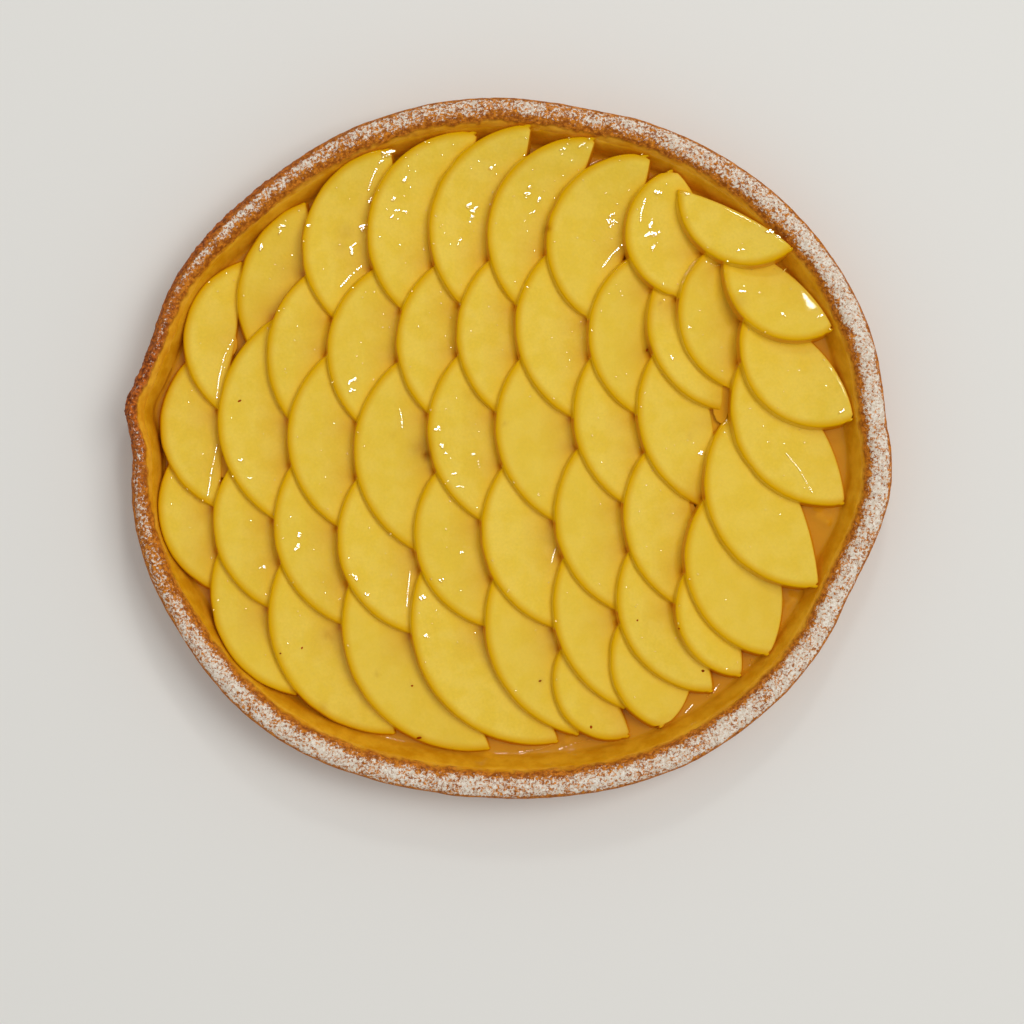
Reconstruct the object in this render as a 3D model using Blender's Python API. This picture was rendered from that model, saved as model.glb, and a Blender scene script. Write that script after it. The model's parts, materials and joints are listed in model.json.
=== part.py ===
"""An oval apple tart: a shortcrust shell, a bed of set golden glaze and forty-eight apple slices.

The shell was shaped freely by hand, so its outline is an oval with a few soft lobes and one pinched nib on
its left. The peeled half-moon slices lie like shingles, from left to right, each on those before it and on
the glaze. Sizes are in millimetres and meshes in metres, +Z is up, and the origin is under the middle of
the shell, on the surface that it stands on.
"""

import math
from typing import NamedTuple

import bpy
import numpy as np

MM = 0.001

# Shell outline, seen from above; angles run anticlockwise from +X
HALF_LENGTH = 135.2
HALF_WIDTH = 124.2
SEGMENTS = 144

# Levels above the table
FLOOR_TOP = 5.0
GLAZE_TOP = 12.2
RIM_TOP = 25.5

# Clearances that the set solids keep
GAP = 0.3
WALL_GAP = 0.5

# Slices, and the grid on which the heap of laid slices is felt out
SLICE_THICKNESS = 2.2
SOFT_EDGE = 0.8
STATIONS = 11
GRID = 1.0
STIFFNESS = 400.0
SUPPORT_SPRING = 50.0
LOOSE_HOLD = 1e-6
SETTLING_ROUNDS = 40


class Lobe(NamedTuple):
    """A soft swelling or dent of the outline or of the rim, at an angle in degrees."""

    angle: float
    half_width: float
    height: float


OUTLINE_LOBES = (
    Lobe(6, 5, -1.3),
    Lobe(35, 18, 0.9),
    Lobe(78, 7, -1.2),
    Lobe(107, 12, 0.6),
    Lobe(134, 8, -0.6),
    Lobe(152, 5, 0.7),
    Lobe(163, 5, -1.3),
    Lobe(174, 2.5, 2.6),
    Lobe(181, 4, -1.6),
    Lobe(197, 7, 1.0),
    Lobe(228, 16, 4.0),
    Lobe(298, 12, 2.1),
    Lobe(317, 7, 0.6),
    Lobe(338, 6, -1.9),
    Lobe(354, 5, 1.0),
)

# The rim is pinched thin on the left, where the oven caught it, and rises and falls a little all round.
THIN_RIM = Lobe(173, 24, -0.36)
CREST_WAVES = (
    Lobe(20, 14, 0.7),
    Lobe(62, 10, -0.6),
    Lobe(96, 13, 0.5),
    Lobe(140, 12, -0.5),
    Lobe(174, 5, 0.8),
    Lobe(212, 16, 0.5),
    Lobe(250, 11, -0.5),
    Lobe(290, 15, 0.6),
    Lobe(332, 13, -0.6),
)

# Section through the wall as (inset from the outline, level): heel, outer face, crest, inner face, floor.
OUTER_WALL = ((8.0, 0.0), (3.4, 0.6), (1.5, 4.0), (0.6, 11.0), (0.0, 18.5), (0.4, 22.4), (1.9, 24.7))
CREST_INSET = 4.4
INNER_WALL = (
    (CREST_INSET, RIM_TOP),
    (7.0, 24.9),
    (9.0, 23.0),
    (11.2, 19.2),
    (13.6, 14.6),
    (15.0, 11.0),
    (17.0, 7.2),
    (20.0, FLOOR_TOP),
)


class Cut(NamedTuple):
    """A half-moon slice: its two tips, the bow of its peeled edge and the swell of its core side.

    The peeled edge is an arc on the left of the line from the low tip to the high one.
    """

    low_tip: tuple
    high_tip: tuple
    bow: float
    core: float


# The slices in the order in which they are laid.
LAID_SLICES = (
    Cut((-104.5, -51), (-114, 4), 15, 7),
    Cut((-75.5, -88), (-102, -34), 15, 9),
    Cut((-104.5, -21), (-111.5, 34.5), 16, 5.5),
    Cut((-84, -57.5), (-93.5, 0), 16, 9),
    Cut((-103, 13.5), (-95, 67), 16.5, 1.5),
    Cut((-89, 30.5), (-72.5, 88), 15, 8.5),
    Cut((-81.5, -26.5), (-77, 49.5), 24, 5),
    Cut((-40.5, -102), (-78, -35.5), 23.5, 7),
    Cut((-57.5, -63.5), (-73, -0.5), 17.5, 8),
    Cut((-76.5, 8), (-66.5, 65.5), 14, 10),
    Cut((-58, -29.5), (-60, 36.5), 19.5, 7),
    Cut((-6.5, -107.5), (-54, -41.5), 25, 5.5),
    Cut((-32.5, -66.5), (-49, -5), 19.5, 10),
    Cut((-60.5, 44.5), (-42, 106.5), 21.5, 8),
    Cut((-51.5, 7), (-42, 67), 17.5, 9.5),
    Cut((-32, -37), (-34, 34.5), 22, 7.5),
    Cut((18, -105), (-27.5, -36.5), 27, 5),
    Cut((-6.5, -64), (-20, -2.5), 20, 6.5),
    Cut((-36, 47.5), (-11, 112.5), 26, 3.5),
    Cut((-26.5, 10.5), (-22, 68), 15.5, 9),
    Cut((-7.5, -27), (-13, 37.5), 18.5, 8.5),
    Cut((25, -102.5), (-2, -39.5), 18, 10),
    Cut((-16, 50), (8, 114.5), 23.5, 4),
    Cut((18, -64.5), (3.5, -0.5), 20, 9),
    Cut((-3.5, 12), (-2.5, 70.5), 15.5, 8.5),
    Cut((18.5, -27), (9.5, 37.5), 18.5, 11.5),
    Cut((43.5, -103), (20.5, -68.5), 15.5, 3.5),
    Cut((3.5, 50), (31, 110), 24, 2),
    Cut((41.5, -93), (23, -32.5), 15.5, 10),
    Cut((25, 10), (19, 73.5), 19.5, 9.5),
    Cut((40, -58.5), (30, 5.5), 18.5, 9),
    Cut((54, -100), (42, -58.5), 11.5, 17),
    Cut((43.5, -21), (33, 37.5), 15, 9.5),
    Cut((30, 45), (50.5, 104), 26.5, 3),
    Cut((73, -87), (47, -30.5), 20.5, 5),
    Cut((46.5, 11.5), (50, 71.5), 20, 4),
    Cut((60, -56), (53.5, 4), 16, 9),
    Cut((68.5, -20.5), (56.5, 40), 16.5, 10),
    Cut((83, -81.5), (66.5, -39), 15, 5.5),
    Cut((76, 13.5), (55, 63.5), 15, 8),
    Cut((61, 53.5), (58.5, 99.5), 18.5, 10),
    Cut((79.5, 21), (75.5, 73.5), 17.5, 6.5),
    Cut((92.5, -74), (72, -15), 19, 14),
    Cut((110, -49.5), (81, 15), 25, 7),
    Cut((120, -20), (83.5, 33), 20.5, 9),
    Cut((122.5, 10), (85, 49.5), 19.5, 9),
    Cut((115.5, 42), (78, 73.5), 18, 5.5),
    Cut((101, 70.5), (60, 92), 15.5, 3),
)


def lobes_at(angles, lobes):
    """Add up bell curves round the circle, at angles in radians."""
    total = np.zeros_like(angles)
    for lobe in lobes:
        away = (np.degrees(angles) - lobe.angle + 180) % 360 - 180
        total += lobe.height * np.exp(-0.5 * (away / lobe.half_width) ** 2)
    return total


def outline_radius(angles):
    """Distance from the oval's centre to the outline."""
    oval = HALF_LENGTH * HALF_WIDTH / np.hypot(HALF_WIDTH * np.cos(angles), HALF_LENGTH * np.sin(angles))
    return oval + lobes_at(angles, OUTLINE_LOBES)


def outline_centre():
    """Middle of the outline's own box, which becomes the origin."""
    corners = outline_radius(ANGLES)[:, None] * DIRECTIONS
    return (corners.min(axis=0) + corners.max(axis=0)) / 2


ANGLES = np.linspace(0, 2 * math.pi, SEGMENTS, endpoint=False)
DIRECTIONS = np.column_stack((np.cos(ANGLES), np.sin(ANGLES)))
CENTRE = outline_centre()


def rim_share(angles):
    """How much of its full width the rim keeps at each angle."""
    return 1 + lobes_at(angles, (THIN_RIM,))


def crest_lift(angles, level):
    """How far the hand-made waves of the crest raise a point at this level."""
    return lobes_at(angles, CREST_WAVES) * (level / RIM_TOP) ** 3


def shell_ring(inset, level, clear=0.0):
    """One ring of points round the tart; past the crest, the inset follows the rim's width."""
    if inset < CREST_INSET:
        depth = np.full(SEGMENTS, inset)
    else:
        depth = inset * rim_share(ANGLES)
    radius = outline_radius(ANGLES) - depth - clear
    flat = radius[:, None] * DIRECTIONS - CENTRE
    return np.column_stack((flat, level + crest_lift(ANGLES, level)))


def wall_level(points):
    """Level of the shell's inner face under points seen from above."""
    from_centre = points + CENTRE
    angles = np.arctan2(from_centre[:, 1], from_centre[:, 0])
    depth = outline_radius(angles) - np.hypot(from_centre[:, 0], from_centre[:, 1])
    insets, levels = np.array(INNER_WALL).T
    level = np.interp(depth / rim_share(angles), insets, levels)
    return level + crest_lift(angles, level)


def arc(start, end, bow):
    """Points of a circular arc that bows to the left of the way from start to end, both tips included."""
    start, end = np.array(start), np.array(end)
    along = (end - start) / 2
    half_chord = np.hypot(*along)
    radius = (half_chord**2 + bow**2) / (2 * bow)
    half_turn = 2 * math.atan2(bow, half_chord)
    turns = np.linspace(-half_turn, half_turn, STATIONS)
    left = np.array((-along[1], along[0])) / half_chord
    forward = np.outer(np.sin(turns), along / half_chord)
    sideways = np.outer(np.cos(turns) - math.cos(half_turn), left)
    return (start + end) / 2 + radius * (forward + sideways)


# A slice's points are its peeled edge from the low tip to the high one, its core edge without the tips,
# and the spine half way between the two edges. Each list below names points by their place in that order.
PEELED = np.arange(STATIONS)
CORE = np.concatenate(([0], np.arange(STATIONS, 2 * STATIONS - 2), [STATIONS - 1]))
SPINE = np.concatenate(([0], np.arange(2 * STATIONS - 2, 3 * STATIONS - 4), [STATIONS - 1]))
OUTLINE = np.concatenate((CORE, PEELED[-2:0:-1]))


def slice_points(cut):
    """All of a slice's points seen from above."""
    peeled = arc(cut.low_tip, cut.high_tip, cut.bow)
    core = arc(cut.high_tip, cut.low_tip, cut.core)[::-1]
    return np.vstack((peeled, core[1:-1], ((peeled + core) / 2)[1:-1]))


def face_strip(right, left):
    """Triangles between two rows of points that meet at both tips, anticlockwise seen from above."""
    faces = []
    for here, there in zip(range(STATIONS - 1), range(1, STATIONS)):
        faces.append((right[here], right[there], left[there]))
        faces.append((right[here], left[there], left[here]))
    return [face for face in faces if len(set(face)) == 3]


FACES = face_strip(CORE, SPINE) + face_strip(SPINE, PEELED)


def edge_normals(outline):
    """Unit normals that point into an anticlockwise outline, one for each edge."""
    edges = np.roll(outline, -1, axis=0) - outline
    normals = np.column_stack((-edges[:, 1], edges[:, 0]))
    return normals / np.linalg.norm(normals, axis=1, keepdims=True)


def softened(points):
    """The slice's points with its outline moved inwards by the soft edge, mitred at its corners."""
    outline = points[OUTLINE]
    after = edge_normals(outline)
    before = np.roll(after, 1, axis=0)
    facing = np.sum(after * before, axis=1, keepdims=True)
    moved = points.copy()
    moved[OUTLINE] = outline + SOFT_EDGE * (after + before) / (1 + facing)
    return moved


class HeapTop:
    """The level of what has been laid so far, on a fine square grid of points seen from above."""

    def __init__(self):
        reach = math.ceil(max(HALF_LENGTH, HALF_WIDTH) / GRID) + 1
        self.lines = np.arange(-reach, reach + 1) * GRID
        self.level = np.full((len(self.lines), len(self.lines)), GLAZE_TOP)

    def weights(self, points):
        """Grid points under a slice: their places on the grid and their weights on the slice's points."""
        rows, columns, weights = [], [], []
        for face in FACES:
            corners = points[list(face)]
            low, high = np.searchsorted(self.lines, (corners.min(axis=0), corners.max(axis=0)))
            column, row = np.meshgrid(np.arange(low[0], high[0]), np.arange(low[1], high[1]))
            flat = np.vstack((np.ones(column.size), self.lines[column.ravel()], self.lines[row.ravel()]))
            share = np.linalg.solve(np.vstack((np.ones(3), corners.T)), flat)
            inside = share.min(axis=0) >= 0
            part = np.zeros((inside.sum(), len(points)))
            part[:, list(face)] = share[:, inside].T
            rows.append(row.ravel()[inside])
            columns.append(column.ravel()[inside])
            weights.append(part)
        return np.concatenate(rows), np.concatenate(columns), np.vstack(weights)

    def spread(self):
        """The level with every edge carried one grid step outwards, which a piece above has to clear."""
        wide = self.level
        for axis in (0, 1):
            wide = np.maximum(wide, np.maximum(np.roll(wide, 1, axis), np.roll(wide, -1, axis)))
        return wide

    def lay(self, rows, columns, weights, levels):
        """Raise the heap to the top of a piece, given the grid points under it."""
        np.maximum.at(self.level, (rows, columns), weights @ levels)


def bending_rows(points):
    """Differences that are zero where a slice is flat: along its edges and spine, and across them."""
    triples = []
    for line in (PEELED, SPINE, CORE):
        triples += [tuple(line[place : place + 3]) for place in range(STATIONS - 2)]
    triples += list(zip(PEELED[1:-1], SPINE[1:-1], CORE[1:-1]))
    rows = np.zeros((len(triples), len(points)))
    for row, (before, middle, after) in zip(rows, triples):
        near = np.hypot(*(points[middle] - points[before]))
        far = np.hypot(*(points[after] - points[middle]))
        share = near * far * (near + far) / 2
        row[[before, middle, after]] = np.array((far, -near - far, near)) / share
    return rows


def settle(points, supports, floor_levels):
    """Levels at which a limp slice lies: as low as the supports and its own stiffness let it.

    The slice minimises its weight plus its bending, and each support that it would sink into pushes back.
    The last lift takes up what little the springy supports gave way.
    """
    bending = bending_rows(points)
    weight = supports.sum(axis=0) / len(supports)
    stiffness = STIFFNESS * bending.T @ bending + LOOSE_HOLD * np.eye(len(points))
    pushing = np.ones(len(supports), dtype=bool)
    for _ in range(SETTLING_ROUNDS):
        touched = supports[pushing]
        push = SUPPORT_SPRING * touched.T
        levels = np.linalg.solve(stiffness + push @ touched, push @ floor_levels[pushing] - weight)
        sunk = floor_levels - supports @ levels
        now = sunk > 0
        if np.array_equal(now, pushing):
            break
        pushing = now
    return levels + max(sunk.max(), 0.0)


def lay_slices():
    """Work out every slice's points and the levels of its underside, in laying order."""
    heap = HeapTop()
    laid = []
    for cut in LAID_SLICES:
        points = slice_points(cut)
        rows, columns, under_faces = heap.weights(points)
        wall = wall_level(under_faces @ points) + WALL_GAP
        floor = np.maximum(heap.spread()[rows, columns] + GAP, wall)
        supports = np.vstack((under_faces, np.eye(len(points))))
        own_floor = np.maximum(wall_level(points) + WALL_GAP, GLAZE_TOP + GAP)
        levels = settle(points, supports, np.concatenate((floor, own_floor)))
        heap.lay(rows, columns, under_faces, levels + SLICE_THICKNESS)
        laid.append((points, levels))
    return laid


def food_material(name, colour, roughness):
    material = bpy.data.materials.new(name)
    material.use_nodes = True
    shader = material.node_tree.nodes["Principled BSDF"]
    shader.inputs["Base Color"].default_value = (*colour, 1.0)
    shader.inputs["Roughness"].default_value = roughness
    shader.inputs["Metallic"].default_value = 0.0
    return material


def add_body(name, vertices, faces, material):
    """A closed body from points in millimetres and faces that turn anticlockwise seen from outside."""
    corners = [tuple(int(place) for place in face) for face in faces]
    mesh = bpy.data.meshes.new(name)
    mesh.from_pydata((vertices * MM).tolist(), [], corners)
    mesh.validate()
    mesh.materials.append(material)
    body = bpy.data.objects.new(name, mesh)
    bpy.context.scene.collection.objects.link(body)
    return body


def walls(below, above):
    """Upright faces between two closed loops of points that both turn anticlockwise seen from above."""
    return list(zip(below, np.roll(below, -1), np.roll(above, -1), above))


def add_turned_body(name, rings, hub_levels, material):
    """A body of rings round the tart, closed by a fan to a hub at its low end and one at its high end."""
    loops = np.arange(len(rings) * SEGMENTS).reshape(len(rings), SEGMENTS)
    low_hub, high_hub = loops.size, loops.size + 1
    faces = [face for below, above in zip(loops, loops[1:]) for face in walls(below, above)]
    faces += [(after, here, low_hub) for here, after in zip(loops[0], np.roll(loops[0], -1))]
    faces += [(here, after, high_hub) for here, after in zip(loops[-1], np.roll(loops[-1], -1))]
    hubs = np.array([(0.0, 0.0, level) for level in hub_levels])
    return add_body(name, np.vstack((*rings, hubs)), faces, material)


def add_crust(material):
    """The shell: up its outer face, over the crest and down its inner face to the floor."""
    rings = [shell_ring(inset, level) for inset, level in OUTER_WALL + INNER_WALL]
    crust = add_turned_body("crust", rings, (0.0, FLOOR_TOP), material)
    crust.data.shade_smooth()
    return crust


def add_glaze_bed(material):
    """The set glaze fills the shell from its floor to the level that shows between slices and wall."""
    insets, levels = np.array(INNER_WALL[::-1]).T
    bottom = FLOOR_TOP + GAP
    steps = [bottom, *(level for level in levels if bottom < level < GLAZE_TOP), GLAZE_TOP]
    rings = [shell_ring(np.interp(level, levels, insets), level, clear=WALL_GAP) for level in steps]
    return add_turned_body("glaze_bed", rings, (bottom, GLAZE_TOP), material)


def add_slice(number, points, levels, material):
    """One slice: an underside that drapes, upright sides, and a top with a softened edge."""
    under = np.column_stack((points, levels))
    shoulder = (under + (0, 0, SLICE_THICKNESS - SOFT_EDGE))[OUTLINE]
    top = np.column_stack((softened(points), levels + SLICE_THICKNESS))
    count = len(points)
    shoulder_loop = np.arange(count, count + len(OUTLINE))
    top_start = count + len(OUTLINE)
    faces = [face[::-1] for face in FACES]
    faces += walls(OUTLINE, shoulder_loop)
    faces += walls(shoulder_loop, OUTLINE + top_start)
    faces += [tuple(place + top_start for place in face) for face in FACES]
    return add_body(f"apple_slice_{number:02d}", np.vstack((under, shoulder, top)), faces, material)


def clear_scene():
    for old in list(bpy.data.objects):
        bpy.data.objects.remove(old, do_unlink=True)


def main():
    clear_scene()
    add_crust(food_material("baked_crust", (0.42, 0.20, 0.07), 0.7))
    add_glaze_bed(food_material("golden_glaze", (0.46, 0.20, 0.02), 0.12))
    flesh = food_material("apple_flesh", (0.71, 0.46, 0.04), 0.22)
    for number, (points, levels) in enumerate(lay_slices(), start=1):
        add_slice(number, points, levels, flesh)


main()
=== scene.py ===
# %% [markdown]
# # An oval apple tart, seen from straight above
#
# The tart is a free-form shortcrust shell with icing sugar along its rim, a bed of set golden glaze and
# forty-eight peeled half-moon slices laid like shingles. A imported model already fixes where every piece
# lies, so this lesson only dresses it: each plain solid is replaced by a fine surface worked out with
# numpy from the solid's own points, and then given a finish made of shader nodes.

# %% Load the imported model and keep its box
import json
import math
from typing import NamedTuple

import bpy
import numpy as np
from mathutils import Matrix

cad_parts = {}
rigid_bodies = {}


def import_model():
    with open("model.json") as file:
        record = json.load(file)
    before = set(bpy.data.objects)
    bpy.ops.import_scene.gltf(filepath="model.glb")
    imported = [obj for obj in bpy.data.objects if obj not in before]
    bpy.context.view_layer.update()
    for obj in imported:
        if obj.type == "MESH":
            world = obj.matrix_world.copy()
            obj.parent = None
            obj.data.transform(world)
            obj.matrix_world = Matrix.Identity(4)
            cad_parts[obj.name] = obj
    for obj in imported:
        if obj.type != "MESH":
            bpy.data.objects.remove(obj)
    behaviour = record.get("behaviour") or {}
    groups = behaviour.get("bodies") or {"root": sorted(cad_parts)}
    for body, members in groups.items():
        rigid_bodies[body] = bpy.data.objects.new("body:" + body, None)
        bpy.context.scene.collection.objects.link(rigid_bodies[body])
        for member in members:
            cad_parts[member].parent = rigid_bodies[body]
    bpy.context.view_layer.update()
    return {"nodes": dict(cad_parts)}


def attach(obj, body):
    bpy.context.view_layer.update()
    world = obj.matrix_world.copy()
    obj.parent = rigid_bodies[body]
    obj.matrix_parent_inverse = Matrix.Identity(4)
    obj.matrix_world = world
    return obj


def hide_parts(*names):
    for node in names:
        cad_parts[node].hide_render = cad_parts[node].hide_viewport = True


for thing in list(bpy.data.objects):
    bpy.data.objects.remove(thing)

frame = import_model()
MM = 0.001

# %% [markdown]
# ## Camera, table and light
#
# The photograph looks straight down from about a metre, so a long lens above the tart keeps its oval true.
# The tart lies a little above the middle of the picture. The table is a plain pale surface. One broad lamp
# at the upper right gives the soft shadow on the left, a dim sky fills the rest, and a lamp behind the tart
# lights nothing but is what the wet glaze mirrors as glints.


# %% Camera
class View(NamedTuple):
    """Where the camera stands, in metres, and its lens in millimetres."""

    across: float
    along: float
    height: float
    lens: float


PHOTO_VIEW = View(across=0.0012, along=-0.0226, height=1.03, lens=100.0)


def add_camera(view):
    """A camera that looks straight down, with the top of the picture towards +Y."""
    data = bpy.data.cameras.new("photo_camera")
    data.lens = view.lens
    data.sensor_width = 36.0
    camera = bpy.data.objects.new("photo_camera", data)
    camera.location = (view.across, view.along, view.height)
    bpy.context.scene.collection.objects.link(camera)
    bpy.context.scene.camera = camera
    return camera


camera = add_camera(PHOTO_VIEW)
bpy.context.scene.view_settings.view_transform = "Standard"
print("camera at", tuple(round(value, 4) for value in camera.location))


# %% Table and lights
def add_lamp(name, place, size, watts, colour, lights=True, mirrored=True):
    """A square area lamp at a place, turned to the tart; it lights the tart, is mirrored by it, or both."""
    data = bpy.data.lights.new(name, "AREA")
    data.size = size
    data.energy = watts
    data.color = colour
    lamp = bpy.data.objects.new(name, data)
    lamp.location = place
    lean = math.atan2(math.hypot(place[0], place[1]), place[2])
    lamp.rotation_euler = (lean, 0.0, math.atan2(place[0], -place[1]))
    lamp.visible_diffuse = lights
    lamp.visible_glossy = mirrored
    bpy.context.scene.collection.objects.link(lamp)
    return lamp


def add_sky(colour, strength):
    """An even sky that fills the shadows."""
    world = bpy.data.worlds.new("studio_sky")
    world.use_nodes = True
    background = world.node_tree.nodes["Background"]
    background.inputs["Color"].default_value = (*colour, 1.0)
    background.inputs["Strength"].default_value = strength
    bpy.context.scene.world = world


def add_table(half_size):
    """The pale surface under the tart, a flat square at level zero."""
    corners = half_size * np.array(((-1, -1, 0), (1, -1, 0), (1, 1, 0), (-1, 1, 0)), float)
    mesh = bpy.data.meshes.new("table")
    mesh.from_pydata(corners.tolist(), [], [(0, 1, 2, 3)])
    table = bpy.data.objects.new("table", mesh)
    bpy.context.scene.collection.objects.link(table)
    material = bpy.data.materials.new("pale_table")
    material.use_nodes = True
    paint = material.node_tree.nodes["Principled BSDF"]
    paint.inputs["Base Color"].default_value = (0.80, 0.79, 0.757, 1.0)
    paint.inputs["Roughness"].default_value = 0.9
    paint.inputs["Specular IOR Level"].default_value = 0.1
    mesh.materials.append(material)
    return table


table = add_table(half_size=3.0)
add_sky(colour=(1.0, 1.0, 0.995), strength=0.53)
broad_lamp = add_lamp("broad_lamp", (1.6, 0.6, 3.2), 1.8, 50.0, (1.0, 0.99, 0.965), mirrored=False)
small_lamp = add_lamp("small_lamp", (0.12, 0.72, 0.85), 0.11, 0.9, (1.0, 1.0, 1.0), mirrored=False)
GLINT_PLACE = (0.13, 0.78, 0.90)
glint_lamp = add_lamp("glint_lamp", GLINT_PLACE, 0.26, 9.0, (1.0, 1.0, 0.98), lights=False)
print("lamps:", broad_lamp.name, small_lamp.name, glint_lamp.name)

# %% [markdown]
# ## Reading the shell's rings
#
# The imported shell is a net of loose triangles. Merged by place, its points form rings that climb from the
# underside, over the crest and down to the floor. Each ring is one step further from a hub in the middle
# along the net, so a walk outwards finds them all, whatever order the points are kept in.


# %% Merge a solid's points and walk its rings
def merged(node):
    """A solid's points in millimetres, each kept once, and its triangles as places in that list."""
    mesh = frame["nodes"][node].data
    points = np.zeros(len(mesh.vertices) * 3)
    mesh.vertices.foreach_get("co", points)
    mesh.calc_loop_triangles()
    corners = np.zeros(len(mesh.loop_triangles) * 3, int)
    mesh.loop_triangles.foreach_get("vertices", corners)
    kept, first, place = np.unique(
        np.round(points.reshape(-1, 3) / MM, 3), axis=0, return_index=True, return_inverse=True
    )
    return kept, place.ravel()[corners].reshape(-1, 3)


def rings_of(points, triangles):
    """Rings in the order of the net, lowest first, as an array of rings by columns by coordinates."""
    hubs = np.where(np.hypot(points[:, 0], points[:, 1]) < 0.01)[0]
    front = hubs[[np.argmin(points[hubs, 2])]]
    seen = np.zeros(len(points), bool)
    rings = []
    while len(front):
        seen[front] = True
        rings.append(front)
        touched = triangles[np.isin(triangles, front).any(axis=1)].ravel()
        front = np.unique(touched[~seen[touched]])
    loops = [points[ring] for ring in rings if len(ring) > 1]
    count = len(loops[0])
    middle = loops[0][:, :2].mean(axis=0)
    ordered = []
    for loop in loops:
        turn = np.arctan2(loop[:, 1] - middle[1], loop[:, 0] - middle[0]) / (2 * math.pi)
        column = np.round(turn * count).astype(int) % count
        ordered.append(loop[np.argsort(column)])
    lowest_first = ordered[0][:, 2].mean() < ordered[-1][:, 2].mean()
    return np.array(ordered if lowest_first else ordered[::-1])


crust_rings = rings_of(*merged("crust"))
bed_rings = rings_of(*merged("glaze_bed"))
print("shell rings:", crust_rings.shape, "bed rings:", bed_rings.shape)

# %% [markdown]
# ## Helpers for fine surfaces
#
# Three helpers serve every piece. A smooth line runs a curve through a few known values. Lumpy noise adds
# the unevenness of food: random values on a coarse lattice, blended smoothly between lattice points. The
# last helper puts finished arrays into a mesh.


# %% Smooth lines, lumps and meshes
def smooth_line(knots, values, places, period=None):
    """Cubic curve through values at knots; each knot's slope is that of the line between its neighbours.

    Between two knots the curve is (1 + 2t)(1 - t)^2 a + t (1 - t)^2 h m + t^2 (3 - 2t) b + t^2 (t - 1) h n.
    """
    if period is not None:
        knots = np.concatenate((knots[-2:] - period, knots, knots[:2] + period))
        values = np.concatenate((values[-2:], values, values[:2]))
    slopes = np.gradient(values, knots, axis=0)
    left = np.clip(np.searchsorted(knots, places, side="right") - 1, 0, len(knots) - 2)
    step = knots[left + 1] - knots[left]
    share = (places - knots[left]) / step
    shape = (-1,) + (1,) * (values.ndim - 1)
    t, h = share.reshape(shape), step.reshape(shape)
    return (
        (1 + 2 * t) * (1 - t) ** 2 * values[left]
        + t * (1 - t) ** 2 * h * slopes[left]
        + t**2 * (3 - 2 * t) * values[left + 1]
        + t**2 * (t - 1) * h * slopes[left + 1]
    )


LATTICE = 32


def lumps(points, size, seed):
    """Smooth noise from -1 to 1 at points in millimetres, with lumps of about the given size."""
    lattice = np.random.default_rng(seed).uniform(-1, 1, (LATTICE, LATTICE, LATTICE))
    scaled = points / size
    cell = np.floor(scaled).astype(int)
    share = scaled - cell
    blend = share * share * (3 - 2 * share)
    total = np.zeros(points.shape[:-1])
    for corner in np.ndindex(2, 2, 2):
        at = (cell + corner) % LATTICE
        weight = np.prod(np.where(corner, blend, 1 - blend), axis=-1)
        total += weight * lattice[at[..., 0], at[..., 1], at[..., 2]]
    return total


def ramp(values, start, end):
    """0 before start, 1 after end, and t t (3 - 2t) between; start may lie above end."""
    share = np.clip((values - start) / (end - start), 0, 1)
    return share * share * (3 - 2 * share)


def make_piece(name, points, faces, masks, material, stands_for):
    """Put points in millimetres and faces into a smooth-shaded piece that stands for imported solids."""
    mesh = bpy.data.meshes.new(name)
    mesh.from_pydata((points * MM).tolist(), [], faces)
    mesh.validate()
    for mask, values in masks.items():
        attribute = mesh.attributes.new(mask, "FLOAT", "POINT")
        attribute.data.foreach_set("value", np.asarray(values, np.float32))
    mesh.shade_smooth()
    mesh.materials.append(material)
    piece = bpy.data.objects.new(name, mesh)
    bpy.context.scene.collection.objects.link(piece)
    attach(piece, "root")
    if stands_for:
        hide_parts(*stands_for)
    return piece


def band_faces(rows, columns):
    """Quads of a grid of rows by columns; each row joins its own end."""
    across = np.arange(columns)
    after = (across + 1) % columns
    row = np.arange(rows - 1)[:, None] * columns
    corners = (row + across, row + after, row + columns + after, row + columns + across)
    return np.stack(corners, axis=-1).reshape(-1, 4)


def fan_faces(ring_start, columns, hub, hub_is_above):
    """Triangles from a ring to a hub."""
    across = ring_start + np.arange(columns)
    after = ring_start + (np.arange(columns) + 1) % columns
    sides = (across, after) if hub_is_above else (after, across)
    return np.column_stack((*sides, np.full(columns, hub)))


trial = np.random.default_rng(0).uniform(0, 90, (999, 3))
print("lumps spread:", lumps(trial, 5.0, 1).std().round(2))

# %% [markdown]
# ## Colour helpers and shader groups
#
# Colours are written the way a picture editor shows them, from 0 to 255, and turned into the linear light
# that Blender works in. Effects that several finishes share are node groups with named inputs: a mottle
# that lets a colour wander, a speckle that breaks a cover into grains, and a relief that gives bump.


# %% Colour and node helpers
def tone(red, green, blue):
    """A picture editor's colour as linear red, green, blue and alpha."""
    share = np.array((red, green, blue)) / 255
    linear = np.where(share <= 0.04045, share / 12.92, ((share + 0.055) / 1.055) ** 2.4)
    return (*linear.tolist(), 1.0)


def feed(tree, node, inputs):
    """Give a node's inputs their values, or link them to the sockets that feed them."""
    for socket, value in inputs.items():
        if isinstance(value, bpy.types.NodeSocket):
            tree.links.new(value, node.inputs[socket])
        else:
            node.inputs[socket].default_value = value
    return node


def add_node(tree, kind, inputs=None, **settings):
    """A node with its settings, whose inputs are given as values or as the sockets that feed them."""
    node = tree.nodes.new(kind)
    for setting, value in settings.items():
        setattr(node, setting, value)
    return feed(tree, node, inputs or {})


def mix_colours(tree, share, first, second, blend="MIX"):
    """The colour that goes from the first to the second as the share goes from 0 to 1."""
    inputs = {0: share, 6: first, 7: second}
    return add_node(tree, "ShaderNodeMix", inputs, data_type="RGBA", blend_type=blend).outputs[2]


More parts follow.
